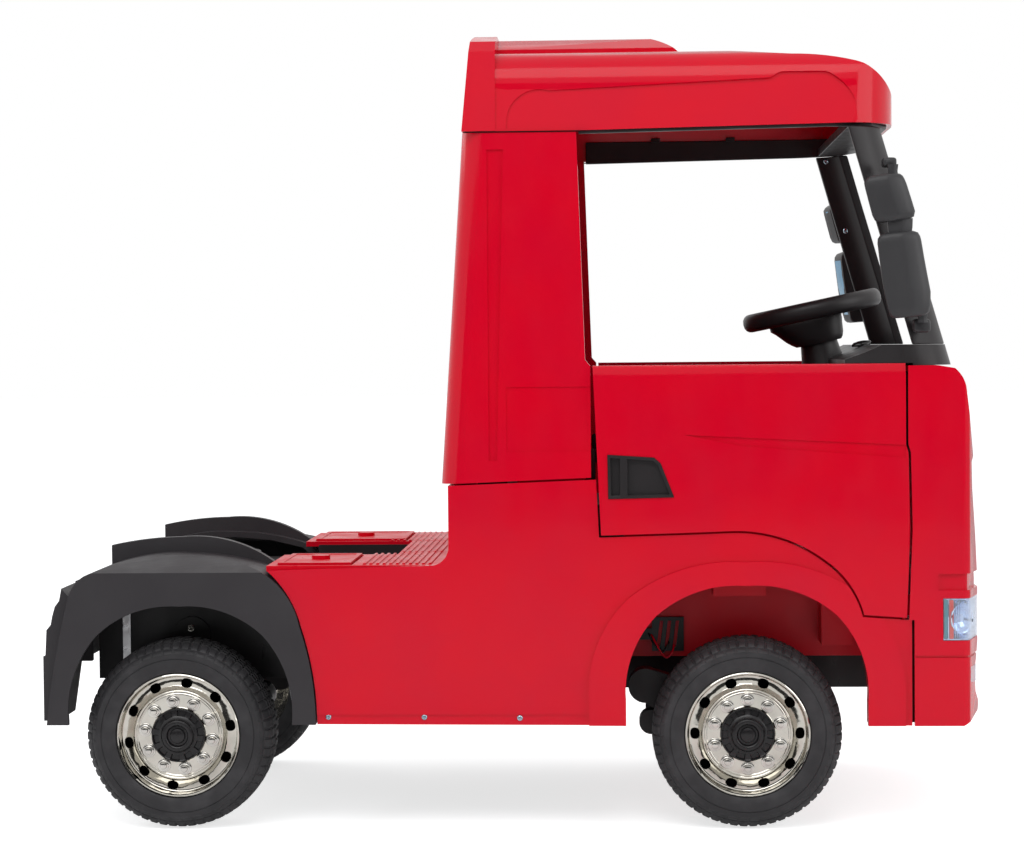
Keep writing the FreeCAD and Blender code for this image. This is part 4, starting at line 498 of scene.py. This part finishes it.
def wheel_nuts(name, place):
    """A ring of stepped round nuts, each half a pitch from the hand holes."""
    parts = []
    for k in range(NUT_COUNT):
        angle = 2 * math.pi * (k + 0.5) / NUT_COUNT
        x, _, z = around(NUT_CIRCLE_R, 0, angle, place)
        parts.append(lathe(NUT_STATIONS, NUT_STEPS, (x, place[1], z, place[3], 0.0)))
    shown("nuts_" + name, *joined(parts), NUT_CHROME, "wheel_" + name, "rim_chrome", 30.0)


for wheel_name, wheel_x, wheel_side in WHEELS:
    phase = math.radians(REAR_PHASE) if wheel_x < 0 else 0.0
    centre = (wheel_x, wheel_side * WHEEL_Y, TYRE_R, wheel_side, phase)
    treaded_tyre(wheel_name, centre)
    chrome_rim(wheel_name, centre)
    castellated_hub(wheel_name, centre)
    wheel_nuts(wheel_name, centre)


# Screws

SCREW_STEPS, RECESS_DEPTH, RECESS_SHARE = 32, 0.55, 0.5
SCREW_STATIONS = [(0, 1.0), (0.16, 1.0), (0.30, 0.98), (0.46, 0.94), (0.62, 0.84), (0.80, 0.64), (0.93, 0.36),
                  (1.0, 0.0)]
SKIRT_SCREWS = [(-247.0, 158.0), (-116.0, 157.5), (14.0, 156.0), (143.0, 151.0)]
PILLAR_SCREWS = [(506.9, 285.4, 837.0), (476.6, 282.2, 946.2)]
PILLAR_FACING, PILLAR_SCREW_R, PILLAR_SCREW_HEIGHT = (-0.54, -0.83, -0.17), 4.4, 1.6
FRAME_BOLT, FRAME_BOLT_R, FRAME_BOLT_HEIGHT = (-458.5, 173.0, 264.6), 5.5, 3.4


def screw(place, axis, radius=4.2, height=2.2):
    """A pan head with a crossed recess; axis is the way it faces, and stations are shares of its size."""
    angles = turns(SCREW_STEPS)
    turn = Vector((0, 1, 0)).rotation_difference(Vector(axis))

    def point(station, i):
        share, level = station
        in_slot = i % 8 in (0, 1, 7)
        recess = RECESS_DEPTH if share == 0 or (share < RECESS_SHARE and in_slot) else 0.0
        local = Vector((radius * share * math.cos(angles[i]), height * (level - recess),
                        radius * share * math.sin(angles[i])))
        return Vector(place) + turn @ local

    return polar_grid(SCREW_STATIONS, SCREW_STEPS, point)


for side_name, side in SIDES:
    heads = joined([screw((x, side * SKIRT_FACE_Y, z), (0, side, 0)) for x, z in SKIRT_SCREWS])
    shown("skirt_screws_" + side_name, *heads, SCREW, "truck", "axle_steel", 30.0)
    facing = Vector(PILLAR_FACING) * Vector((1, side, 1))
    pillar_heads = joined([screw((x, side * y, z), facing, PILLAR_SCREW_R, PILLAR_SCREW_HEIGHT)
                           for x, y, z in PILLAR_SCREWS])
    shown("pillar_screws_" + side_name, *pillar_heads, SCREW, "truck", "axle_steel", 30.0)
    bolt_x, bolt_y, bolt_z = FRAME_BOLT
    bolt = screw((bolt_x, side * bolt_y, bolt_z), (0, side, 0), FRAME_BOLT_R, FRAME_BOLT_HEIGHT)
    shown("frame_bolt_" + side_name, *bolt, NUT_CHROME, "truck", "axle_steel", 30.0)


# Steering wheel

STEER_CENTRE = Vector((433.0, 0.0, 710.0))
STEER_TILT = math.radians(11.8)
STEER_R, STEER_HALF_WIDTH, STEER_HALF_HEIGHT, STEER_DROP = 91.5, 10.8, 13.2, 1.0
STEER_POWER, SPOKE_POWER = 0.85, 0.6
STEER_STEPS, STEER_CORNERS, SPOKE_CORNERS = 96, 16, 20
PAD_HALF_X, PAD_HALF_Y, POD_POWER = 29.0, 27.0, 3.0
PAD_ROWS = [(0.30, -21.4), (0.52, -20.0), (0.72, -14.0), (0.92, -6.0), (1.0, 0.0), (1.0, 3.0), (0.94, 6.0),
            (0.80, 7.6)]
POD_ROWS = [(50.0, 31.0, -4.0, -12.0), (53.0, 35.0, -10.0, -12.5), (53.0, 35.0, -20.0, -12.5),
            (49.0, 35.0, -26.0, -9.5), (42.0, 35.0, -40.0, -4.0), (37.5, 34.5, -46.0, -1.5),
            (33.0, 33.0, -50.0, 0.0)]
COLUMN_ROWS = [(30.0, -50.0), (29.0, -48.0), (28.5, -21.8)]
SPOKE_ROWS = [(20.0, 17.0, -9.0, 5.0), (34.0, 14.5, -8.0, 4.0), (56.0, 12.0, -5.0, 3.4),
              (76.0, 12.5, -4.0, 3.6), (90.0, 15.0, -4.0, 4.0)]


def steer_frame():
    """Turns local coordinates, with the column as Z, into the frame."""
    return Matrix.Translation(STEER_CENTRE) @ Matrix.Rotation(-STEER_TILT, 4, "Y")


def steering_rim():
    """Rim of rounded section, a little taller than wide."""
    place = steer_frame()
    verts, faces = [], []
    for i, turn in enumerate(turns(STEER_STEPS)):
        for j, angle in enumerate(turns(STEER_CORNERS)):
            radius = STEER_R + STEER_HALF_WIDTH * math.cos(angle)
            lift = STEER_HALF_HEIGHT * squared(math.sin(angle), STEER_POWER) - STEER_DROP
            verts.append(place @ Vector((radius * math.cos(turn), radius * math.sin(turn), lift)))
            here, ahead = i * STEER_CORNERS, (i + 1) % STEER_STEPS * STEER_CORNERS
            k = (j + 1) % STEER_CORNERS
            faces.append([here + j, ahead + j, ahead + k, here + k])
    return verts, faces


def steering_middle():
    """Pad, the wide pod below it that narrows to the column, and three spokes."""
    place = steer_frame()
    pad = [rounded_ring(PAD_HALF_X * k, PAD_HALF_Y * k, POD_POWER, place, z) for k, z in PAD_ROWS]
    pod = [rounded_ring(x, y, POD_POWER, place, z, shift) for x, y, z, shift in POD_ROWS]
    pod += [rounded_ring(r, r, 2.0, place, z) for r, z in COLUMN_ROWS]
    parts = [loft(pad), loft(pod)]
    for turn in (math.pi, math.pi / 3, -math.pi / 3):
        swing = place @ Matrix.Rotation(turn, 4, "Z")
        rings = []
        for reach, half_w, low, high in SPOKE_ROWS:
            ring = []
            for t in turns(SPOKE_CORNERS):
                y = squared(math.cos(t), SPOKE_POWER) * half_w
                z = (low + high) / 2 + squared(math.sin(t), SPOKE_POWER) * (high - low) / 2
                ring.append(swing @ Vector((reach, y, z)))
            rings.append(ring)
        parts.append(loft(rings))
    return joined(parts)


steering = shown("steering_wheel_detail", *joined([steering_rim(), steering_middle()]), BLACK, "steering",
                 "black_plastic", 40.0)
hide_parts("steering_wheel")


# Mirrors

HEAD_SECTION = [(0.0, -0.58), (0.01, -0.74), (0.07, -0.84), (0.30, -0.91), (0.50, -0.99), (0.55, -1.0),
                (0.60, -0.98), (0.80, -0.76), (0.92, -0.60), (0.98, -0.36), (1.0, 0.0), (0.99, 0.42),
                (0.94, 0.76), (0.85, 0.93), (0.5, 1.0), (0.22, 0.99), (0.15, 0.90), (0.13, 0.74), (0.06, 0.0)]
HEAD_MIDDLE, HEAD_HALF = 342.0, 21.0
UPPER_HEAD = [(821.4, 502.0, 528.0, 0.70), (822.2, 496.0, 538.0, 0.88), (825.0, 491.6, 544.4, 0.97),
              (832.0, 488.2, 546.0, 1.0), (850.0, 483.4, 540.6, 1.0), (868.0, 478.8, 535.0, 1.0),
              (874.5, 477.6, 532.4, 0.98), (879.0, 480.0, 530.0, 0.95), (882.4, 484.6, 526.0, 0.85),
              (883.6, 492.0, 519.0, 0.64)]
LOWER_HEAD = [(694.0, 520.0, 552.0, 0.70), (695.2, 514.4, 559.0, 0.88), (699.0, 510.6, 564.0, 0.96),
              (708.0, 508.0, 566.0, 1.0), (726.0, 504.0, 566.2, 1.0), (748.0, 500.4, 562.0, 1.0),
              (770.0, 497.6, 558.0, 1.0), (794.0, 494.8, 554.0, 1.0), (800.0, 495.2, 552.4, 0.98),
              (804.8, 498.6, 549.6, 0.92), (807.6, 507.0, 543.0, 0.72)]
NECK = [(802.0, 510.0, 541.0, 0.62), (812.0, 509.0, 542.5, 0.66), (824.0, 508.0, 543.0, 0.62)]
TOP_STEM = [(880.0, 509.0, 524.0, 0.34), (888.0, 510.0, 523.0, 0.30), (897.0, 509.0, 524.0, 0.34)]
LOW_STEM = [(687.0, 548.0, 562.0, 0.34), (693.0, 549.0, 561.0, 0.30), (698.0, 548.0, 562.0, 0.34)]
HEADS = [(UPPER_HEAD, 0.10), (LOWER_HEAD, 0.07), (NECK, 0.08), (TOP_STEM, 0.0), (LOW_STEM, 0.0)]
ARM_RUN = [(334.0, 0.9), (328.0, 1.0), (322.0, 0.72), (313.0, 0.72), (306.9, 1.0)]
TOP_CLIP_RUN = [(333.0, 0.55), (331.0, 0.9), (326.0, 1.0), (312.0, 1.0), (306.4, 0.9)]
LOW_CLIP_RUN = [(332.0, 0.72), (330.0, 0.92), (325.0, 1.0), (316.0, 1.0), (311.3, 0.96)]
BARS = [(498.0, 873.0, ARM_RUN, 11.0, 8.0), (543.0, 719.0, ARM_RUN, 11.0, 8.0),
        (514.0, 901.0, TOP_CLIP_RUN, 9.5, 6.6), (556.0, 683.0, LOW_CLIP_RUN, 12.0, 9.5)]
BAR_CORNERS, BAR_POWER = 20, 0.5


def mirror_head(rows, slope, side):
    """A rounded head of level sections; a row is height, rear and front X, and share of the full depth."""
    rings = []
    for z, rear, front, share in rows:
        ring = []
        for along, across in HEAD_SECTION:
            x = rear + along * (front - rear)
            y = side * (HEAD_MIDDLE - across * HEAD_HALF * share)
            ring.append(Vector((x, y, z + slope * (x - (rear + front) / 2))))
        rings.append(ring)
    return loft(rings)


def bent_bar(x, z, run, half_x, half_z, side):
    """A bar of rounded section from the mirror in to the pillar; the run is Y and share of the section."""
    rings = []
    for y, scale in run:
        rings.append([Vector((x + squared(math.cos(t), BAR_POWER) * half_x * scale, side * y,
                              z + squared(math.sin(t), BAR_POWER) * half_z * scale))
                      for t in turns(BAR_CORNERS)])
    return loft(rings)


def mirror_side(side):
    """One side's two heads, the neck between them, the stems and the arms and clips on the pillar."""
    parts = [mirror_head(rows, slope, side) for rows, slope in HEADS]
    return joined(parts + [bent_bar(*bar, side) for bar in BARS])


mirrors = shown("mirror_heads", *joined([mirror_side(side) for _, side in SIDES]), MIRROR_GREY, "truck",
                "mirror_plastic", 44.0)
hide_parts("mirror_housings")


FOIL_POINTS, FOIL_FROM, FOIL_SPAN, FOIL_THICKNESS, FOIL_CROWN, FOIL_PROUD = 8, -0.50, 1.20, 1.4, 0.4, 0.5
FOIL_TURN, FOIL_TURN_FROM, FOIL_TURN_SPAN = 0.13, 0.58, 1.32
UPPER_FOIL = [(829.0, 489.6, 545.0), (841.0, 486.0, 543.2), (855.0, 482.2, 539.0), (870.0, 478.5, 534.2)]
LOWER_FOIL = [(706.0, 508.6, 565.6), (726.0, 504.2, 566.2), (750.0, 500.2, 561.6), (775.0, 497.2, 557.2),
              (792.0, 495.2, 554.2)]


def foil_panel(rows, side):
    """A thin, slightly crowned reflective panel on the rear face of a head, turned in to the driver."""
    rings = []
    for z, rear, front in rows:
        ring = []
        for i in range(FOIL_POINTS + 1):
            across = FOIL_FROM + FOIL_SPAN * i / FOIL_POINTS
            turned_in = FOIL_TURN * (front - rear) * (across + FOIL_TURN_FROM) / FOIL_TURN_SPAN
            x = rear + turned_in - FOIL_PROUD + FOIL_CROWN * across * across
            ring.append(Vector((x, side * (HEAD_MIDDLE - across * HEAD_HALF), z)))
        ring += [Vector((v.x + FOIL_THICKNESS, v.y, v.z)) for v in reversed(ring)]
        rings.append(ring)
    return loft(rings)


foils = [foil_panel(rows, side) for _, side in SIDES for rows in (UPPER_FOIL, LOWER_FOIL)]
foil_piece = shown("mirror_foil_panels", *joined(foils), FOIL, "truck", "mirror_foil", 44.0)
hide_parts("mirror_glasses")


# Lamps

NOSE_FACE = [(584.6, 320.0), (598.0, 320.0), (610.2, 320.0), (613.4, 319.5), (616.0, 318.4), (618.9, 316.4),
             (621.1, 313.6), (625.0, 301.0), (629.2, 287.6), (633.4, 274.0), (636.8, 263.0), (637.6, 259.0),
             (637.65, 245.0), (637.65, 220.0), (637.65, 192.0), (637.65, 165.5)]
NOSE_BACK = [(584.6, 300.0), (592.0, 300.0), (599.0, 299.0), (601.0, 298.4), (602.4, 297.6), (603.8, 296.4),
             (605.0, 295.0), (607.0, 288.0), (609.0, 280.0), (610.4, 271.0), (611.4, 262.0), (612.0, 257.0),
             (612.4, 245.0), (612.6, 220.0), (612.6, 192.0), (612.6, 165.5)]
LENS_SECTION = [(0.045, 260.5), (0.012, 261.6), (0.012, 275.0), (0.012, 302.0), (0.012, 315.4),
                (0.045, 316.5), (0.13, 316.5), (0.10, 314.0), (0.10, 263.0), (0.13, 260.5)]
TRAY_SECTION = [(0.16, 260.6), (0.98, 260.6), (1.0, 288.0), (0.98, 316.4), (0.16, 316.4), (0.16, 314.6),
                (0.80, 309.0), (0.90, 288.0), (0.80, 268.0), (0.16, 262.4)]
LAMP_Z, STRIP_Y = 289.0, 317.0
REFLECTORS = [(611.0, 309.0, (0.62, 0.78), 19.0, 9.0), (626.0, 270.0, (0.96, 0.28), 20.0, 12.0),
              (630.0, 208.0, (1.0, 0.0), 22.0, 14.0)]
DISH_STEPS, DISH_SHARES = 40, (0.2, 0.4, 0.6, 0.8, 0.92, 1.0)
DISH_LIP, DISH_BACK_SHARE, DISH_WALL = [(1.06, 0.6), (1.1, 0.0), (1.1, -2.0)], 0.6, 2.0
BULB_STATIONS = [(0, 0.0), (2.6, -0.4), (4.4, -1.8), (5.4, -4.0)]
BULB_R = 5.8
STRIP_CHAMFER, STRIP_END_SHARE, STRIP_CORNERS, STRIP_POWER = 1.2, 0.6, 16, 4.0
TRAY_STRIPS = [(x, 0.5, STRIP_Y, 0.8, 263.5, 313.5) for x in (600.5, 603.5, 606.5)]
TRAY_STRIPS += [(591.4, 0.7, STRIP_Y, 1.2, 262.0, 315.0)]
TEAL_STRIPS = [(588.0, 2.6, STRIP_Y, 1.2, 262.0, 315.0), (630.6, 1.4, 211.0, 29.0, 200.5, 223.6)]
AMBER_STRIP = (595.4, 3.0, STRIP_Y, 1.2, 262.0, 315.0)
FOG_FACE = [(621.9, 312.2), (626.6, 297.2), (631.4, 281.6), (633.2, 276.0), (634.0, 243.0), (634.0, 182.0)]
FOG_LOW, FOG_CORNER_RISE, FOG_CORNER_Y = 199.4, 4.0, 300.0
FOG_LOW_EDGE, FOG_HIGH_EDGE, FOG_TOP = 1.5, 223.2, 224.7
FOG_DEPTH, FOG_SLANT, FOG_SLANT_X = 3.0, 0.3, 632.0


def nose_rings(section, side):
    """Rings along the lamp's opening; a section point is a share of the way in and a height."""
    rings = []
    for (fx, fy), (bx, by) in zip(NOSE_FACE, NOSE_BACK):
        rings.append([Vector((fx + (bx - fx) * share, side * (fy + (by - fy) * share), z))
                      for share, z in section])
    return rings


def facing_lathe(stations, centre, axis):
    """Stations of radius and height turned round an axis through a centre."""
    angles = turns(DISH_STEPS)
    turn = Vector((0, 1, 0)).rotation_difference(Vector(axis))

    def point(station, i):
        radius, height = station
        return Vector(centre) + turn @ Vector((radius * math.cos(angles[i]), height,
                                               radius * math.sin(angles[i])))

    return polar_grid(stations, DISH_STEPS, point)


def dish(centre, axis, radius, depth):
    """A round reflector with its rim."""
    stations = [(0, -depth)] + [(radius * k, -depth * (1 - k * k)) for k in DISH_SHARES]
    stations += [(radius * k, height) for k, height in DISH_LIP]
    stations += [(radius * DISH_BACK_SHARE, -depth - DISH_WALL), (0, -depth - DISH_WALL)]
    return facing_lathe(stations, centre, axis)


def bulb(centre, axis, depth):
    """The dome in a reflector's middle."""
    return facing_lathe(BULB_STATIONS + [(BULB_R, -depth), (0, -depth)], centre, axis)


def upright(x, half_x, y, half_y, low, high):
    """A slim upright strip with rounded edges and ends."""
    place = Matrix.Translation((x, y, 0.0))
    rows = ((low, STRIP_END_SHARE), (low + STRIP_CHAMFER, 1.0), (high - STRIP_CHAMFER, 1.0),
            (high, STRIP_END_SHARE))
    return loft([rounded_ring(half_x * k, half_y * k, STRIP_POWER, place, z, count=STRIP_CORNERS)
                 for z, k in rows])


def side_strip(strip, side):
    """An upright strip on one side; a strip is X, half width, Y, half depth, and its ends' heights."""
    x, half_x, y, half_y, low, high = strip
    return upright(x, half_x, side * y, half_y, low, high)


def fog_lens(side):
    """The fog lamp's lens, which bends round the corner and rises there."""
    rings = []
    for x, y in FOG_FACE:
        low = FOG_LOW + (FOG_CORNER_RISE if y > FOG_CORNER_Y else 0.0)
        slant = FOG_SLANT if x < FOG_SLANT_X else 0.0
        section = ((FOG_DEPTH, low), (0.0, low + FOG_LOW_EDGE), (0.0, FOG_HIGH_EDGE), (FOG_DEPTH, FOG_TOP))
        rings.append([Vector((x - inset, side * (y - inset * slant), z)) for inset, z in section])
    return loft(rings)


lens_parts, tray_parts, bulb_parts, teal_parts, amber_parts = [], [], [], [], []
for _, side in SIDES:
    lens_parts += [loft(nose_rings(LENS_SECTION, side)), fog_lens(side)]
    tray_parts.append(loft(nose_rings(TRAY_SECTION, side)))
    for x, y, (ahead, across), radius, depth in REFLECTORS:
        centre, axis = (x, side * y, LAMP_Z), (ahead, side * across, 0.0)
        tray_parts.append(dish(centre, axis, radius, depth))
        bulb_parts.append(bulb(centre, axis, depth))
    tray_parts += [side_strip(strip, side) for strip in TRAY_STRIPS]
    teal_parts += [side_strip(strip, side) for strip in TEAL_STRIPS]
    amber_parts.append(side_strip(AMBER_STRIP, side))
lamp_lenses = shown("lamp_lenses", *joined(lens_parts), LENS, "truck", "lamp_clear", 40.0)
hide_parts("front_lamps")
shown("lamp_trays", *joined(tray_parts), REFLECTOR, "truck", "lamp_clear", 34.0)
shown("lamp_bulbs", *joined(bulb_parts), BULB, "truck", "lamp_clear", 40.0)
shown("lamp_edge_strips", *joined(teal_parts), TEAL, "truck", "lamp_clear", 40.0)
shown("lamp_side_reflectors", *joined(amber_parts), AMBER, "truck", "lamp_red", 40.0)


# Folds behind the seams beside the doors and under the roof, so that no daylight shows through them; their
# near black is painted shade for the seams' dark gaps

FOLD_STRIPS = [(545.0, 7.0, 307.8, 1.4, 148.6, 287.0), (548.0, 0.9, 299.0, 12.5, 292.0, 628.0),
               (112.0, 7.0, 296.0, 1.2, 474.0, 520.0)]
ROOF_FOLD_RUN, ROOF_FOLD_Y, ROOF_FOLD_Z = (-56.0, 26.0, 110.0), 305.2, 949.6
ROOF_FOLD_HALF_Z, ROOF_FOLD_HALF_Y, ROOF_FOLD_CORNERS = 0.9, 1.3, 12


def roof_fold(side):
    """A slim bar along the line where the roof sits on the cab, near black as a painted shade line for the
    seam.
    """
    rings = []
    for x in ROOF_FOLD_RUN:
        place = (Matrix.Translation((x, side * ROOF_FOLD_Y, ROOF_FOLD_Z)) @
                 Matrix.Rotation(math.pi / 2, 4, "Y"))
        rings.append(rounded_ring(ROOF_FOLD_HALF_Z, ROOF_FOLD_HALF_Y, STRIP_POWER, place, 0.0,
                                  count=ROOF_FOLD_CORNERS))
    return loft(rings)


seams = []
for _, side in SIDES:
    seams += [side_strip(strip, side) for strip in FOLD_STRIPS]
    seams.append(roof_fold(side))
# The folds carry the painted shade material
shown("seam_folds", *joined(seams), SEAM_PAINTED_SHADE, "truck", "body_red", 40.0)


# Lever on the dash

LEVER_Y, LEVER_POWER, LEVER_CORNERS = -44.0, 2.6, 28
LEVER_ROWS = [(13.0, 9.0, 500.0, 655.0), (13.5, 9.5, 500.5, 657.5), (12.5, 8.5, 502.0, 660.5),
              (9.5, 6.0, 505.5, 663.0), (5.0, 3.0, 509.0, 664.4)]
lever = [rounded_ring(half_x, half_y, LEVER_POWER, Matrix.Translation((x, LEVER_Y, 0.0)), z,
                      count=LEVER_CORNERS) for half_x, half_y, x, z in LEVER_ROWS]
shown("dash_lever", *loft(lever), GLOSS_BLACK, "truck", "black_plastic", 44.0)


# Leads that loop out of the frame and back behind the right front wheel

def smooth_path(points, spans=10):
    """Points on a smooth curve through the given ones."""
    held = [points[0]] + points + [points[-1]]
    path = []
    for four in zip(held, held[1:], held[2:], held[3:]):
        a, b, c, d = [Vector(place) for place in four]
        for i in range(spans):
            t = i / spans
            path.append(0.5 * (2 * b + (c - a) * t + (2 * a - 5 * b + 4 * c - d) * t ** 2 +
                               (3 * b - 3 * c + d - a) * t ** 3))
    return path + [Vector(points[-1])]


def tube(path, radius, count=12):
    """A round skin along a path, with as little twist as can be."""
    rings = []
    across = Vector((0.0, 1.0, 0.0))
    for n, place in enumerate(path):
        ahead = (path[min(n + 1, len(path) - 1)] - path[max(n - 1, 0)]).normalized()
        across = (across - ahead * across.dot(ahead)).normalized()
        up = ahead.cross(across)
        rings.append([place + radius * (across * math.cos(t) + up * math.sin(t)) for t in turns(count)])
    return loft(rings)


def lead(name, points, material, radius=1.4):
    """A limp lead with both ends in the frame; the length that shows is summed but not used."""
    path = smooth_path(points)
    piece = shown(name, *tube(path, radius), material, "truck", "black_plastic", 60.0)
    run = sum((b - a).length for a, b in zip(path, path[1:]))


lead("lead_red", [(194.0, -149.0, 250.0), (196.0, -155.5, 247.0), (202.0, -159.0, 236.0),
                  (209.0, -160.5, 224.0), (216.0, -159.0, 219.0), (223.0, -156.0, 226.0),
                  (226.0, -149.0, 236.0)], RED)
lead("lead_black", [(190.0, -149.0, 252.0), (191.5, -153.0, 250.0), (196.0, -154.5, 240.0),
                    (203.0, -155.0, 230.0), (210.0, -154.5, 226.0), (216.0, -152.5, 233.0),
                    (219.0, -149.0, 241.0)], GLOSS_BLACK)


# Stage, camera and light

FLOOR_HALF, FLOOR_GLOW, FLOOR_SEEN = 30, 0.16, 0.70
CARD_SHADE, CARD_DRIFT = 0.035, 1.3
CARD_CORNERS = [(-7.0, -6.0, 0.02), (7.0, -6.0, 0.02), (7.0, -6.0, 1.9), (-7.0, -6.0, 1.9)]


def stage_sheet(name, corners, material):
    """A flat sheet of four corners in metres that belongs to the stage."""
    mesh = bpy.data.meshes.new(name)
    mesh.from_pydata(corners, [], [(0, 1, 2, 3)])
    mesh.materials.append(material)
    sheet = bpy.data.objects.new(name, mesh)
    bpy.context.scene.collection.objects.link(sheet)
    return sheet


def stage_plane():
    """Pale floor that glows a little, more so to the camera."""
    n = Nodes("floor_pale")
    tone = n.mix(n.patches(1.5, 3.0, 0.3, 0.7), rgba(0.86, 0.86, 0.86), rgba(0.88, 0.88, 0.88))
    pale = n.add("BsdfDiffuse", {"Color": tone})
    camera_share = n.add("LightPath").outputs["Is Camera Ray"]
    level = n.add("MapRange", {"Value": camera_share, "To Min": FLOOR_GLOW, "To Max": FLOOR_SEEN}).outputs[0]
    glow = n.add("Emission", {"Color": rgba(1.0, 1.0, 1.0), "Strength": level})
    both = n.add("AddShader")
    n.tree.links.new(pale.outputs[0], both.inputs[0])
    n.tree.links.new(glow.outputs[0], both.inputs[1])
    corners = [(x * FLOOR_HALF, y * FLOOR_HALF, 0) for x, y in ((-1, -1), (1, -1), (1, 1), (-1, 1))]
    stage_sheet("floor", corners, n.finish(both.outputs[0]))


def dark_card(name, corners, shade):
    """A dark flag that only gloss sees, as a photographer stands one beside the set."""
    n = Nodes(name)
    tone = n.mix(n.patches(0.6, 2.0, 0.3, 0.7), rgba(shade, shade, shade),
                 rgba(CARD_DRIFT * shade, CARD_DRIFT * shade, CARD_DRIFT * shade))
    glow = n.add("Emission", {"Color": tone, "Strength": 1.0})
    card = stage_sheet(name, corners, n.finish(glow.outputs[0]))
    card.visible_camera = False
    card.visible_diffuse = False
    card.visible_shadow = False
    card.visible_transmission = False


WORLD_LIT, WORLD_TINT = 0.55, (0.96, 0.98, 1.0)


def background(tree, colour, strength):
    """A plain world shader of one colour."""
    node = tree.nodes.new("ShaderNodeBackground")
    node.inputs["Color"].default_value = colour
    node.inputs["Strength"].default_value = strength
    return node.outputs[0]


def larger(tree, first, second):
    """The larger of two ray shares, so that either of them counts."""
    node = tree.nodes.new("ShaderNodeMath")
    node.operation = "MAXIMUM"
    tree.links.new(first, node.inputs[0])
    tree.links.new(second, node.inputs[1])
    return node.outputs[0]


def soft_world():
    """White for what the camera, gloss and glass see; plainer grey for the light that falls on the object."""
    world = bpy.data.worlds.new("studio")
    bpy.context.scene.world = world
    world.use_nodes = True
    tree = world.node_tree
    tree.nodes.clear()
    out = tree.nodes.new("ShaderNodeOutputWorld")
    rays = tree.nodes.new("ShaderNodeLightPath").outputs
    direct = larger(tree, rays["Is Camera Ray"], rays["Is Transmission Ray"])
    mixed = tree.nodes.new("ShaderNodeMixShader")
    tree.links.new(larger(tree, direct, rays["Is Glossy Ray"]), mixed.inputs[0])
    tree.links.new(background(tree, rgba(*WORLD_TINT), WORLD_LIT), mixed.inputs[1])
    tree.links.new(background(tree, rgba(1, 1, 1), 1.0), mixed.inputs[2])
    tree.links.new(mixed.outputs[0], out.inputs["Surface"])


def area_light(name, place, target, size, power):
    """A white rectangular light in metres and watts, aimed at a target."""
    light = bpy.data.lights.new(name, "AREA")
    light.shape = "RECTANGLE"
    light.size, light.size_y = size
    light.energy = power
    lamp = bpy.data.objects.new(name, light)
    lamp.location = place
    lamp.rotation_euler = (Vector(target) - Vector(place)).to_track_quat("-Z", "Y").to_euler()
    bpy.context.scene.collection.objects.link(lamp)


CAMERA_PLACE, SENSOR_WIDTH, FOCAL_LENGTH, FAR_CLIP = (0.167, -3.740, 0.6607), 36.0, 89.26, 100.0
CAMERA_YAW, CAMERA_PITCH, CAMERA_ROLL = 2.68, -1.93, -0.5


def photo_camera():
    """The photograph's viewpoint: from the right, a little ahead of the middle, level with the belt line."""
    data = bpy.data.cameras.new("camera")
    data.sensor_width = SENSOR_WIDTH
    data.lens = FOCAL_LENGTH
    data.clip_end = FAR_CLIP
    camera = bpy.data.objects.new("camera", data)
    bpy.context.scene.collection.objects.link(camera)
    yaw, pitch, roll = [math.radians(angle) for angle in (CAMERA_YAW, CAMERA_PITCH, CAMERA_ROLL)]
    look = Vector((-math.sin(yaw) * math.cos(pitch), math.cos(yaw) * math.cos(pitch), math.sin(pitch)))
    turn = look.to_track_quat("-Z", "Y").to_matrix() @ Matrix.Rotation(roll, 3, "Z")
    camera.matrix_world = Matrix.Translation(CAMERA_PLACE) @ turn.to_4x4()
    bpy.context.scene.camera = camera


stage_plane()
dark_card("card_side", CARD_CORNERS, CARD_SHADE)
soft_world()
area_light("key", (-0.6, -2.6, 3.4), (0.0, 0.0, 0.6), (3.2, 2.2), 60.0)
area_light("front", (3.4, -1.4, 1.8), (0.2, 0.0, 0.6), (2.0, 2.0), 26.0)
area_light("back", (-3.2, 1.8, 2.4), (0.0, 0.0, 0.5), (2.4, 2.0), 26.0)
photo_camera()
bpy.context.scene.view_settings.view_transform = "Standard"
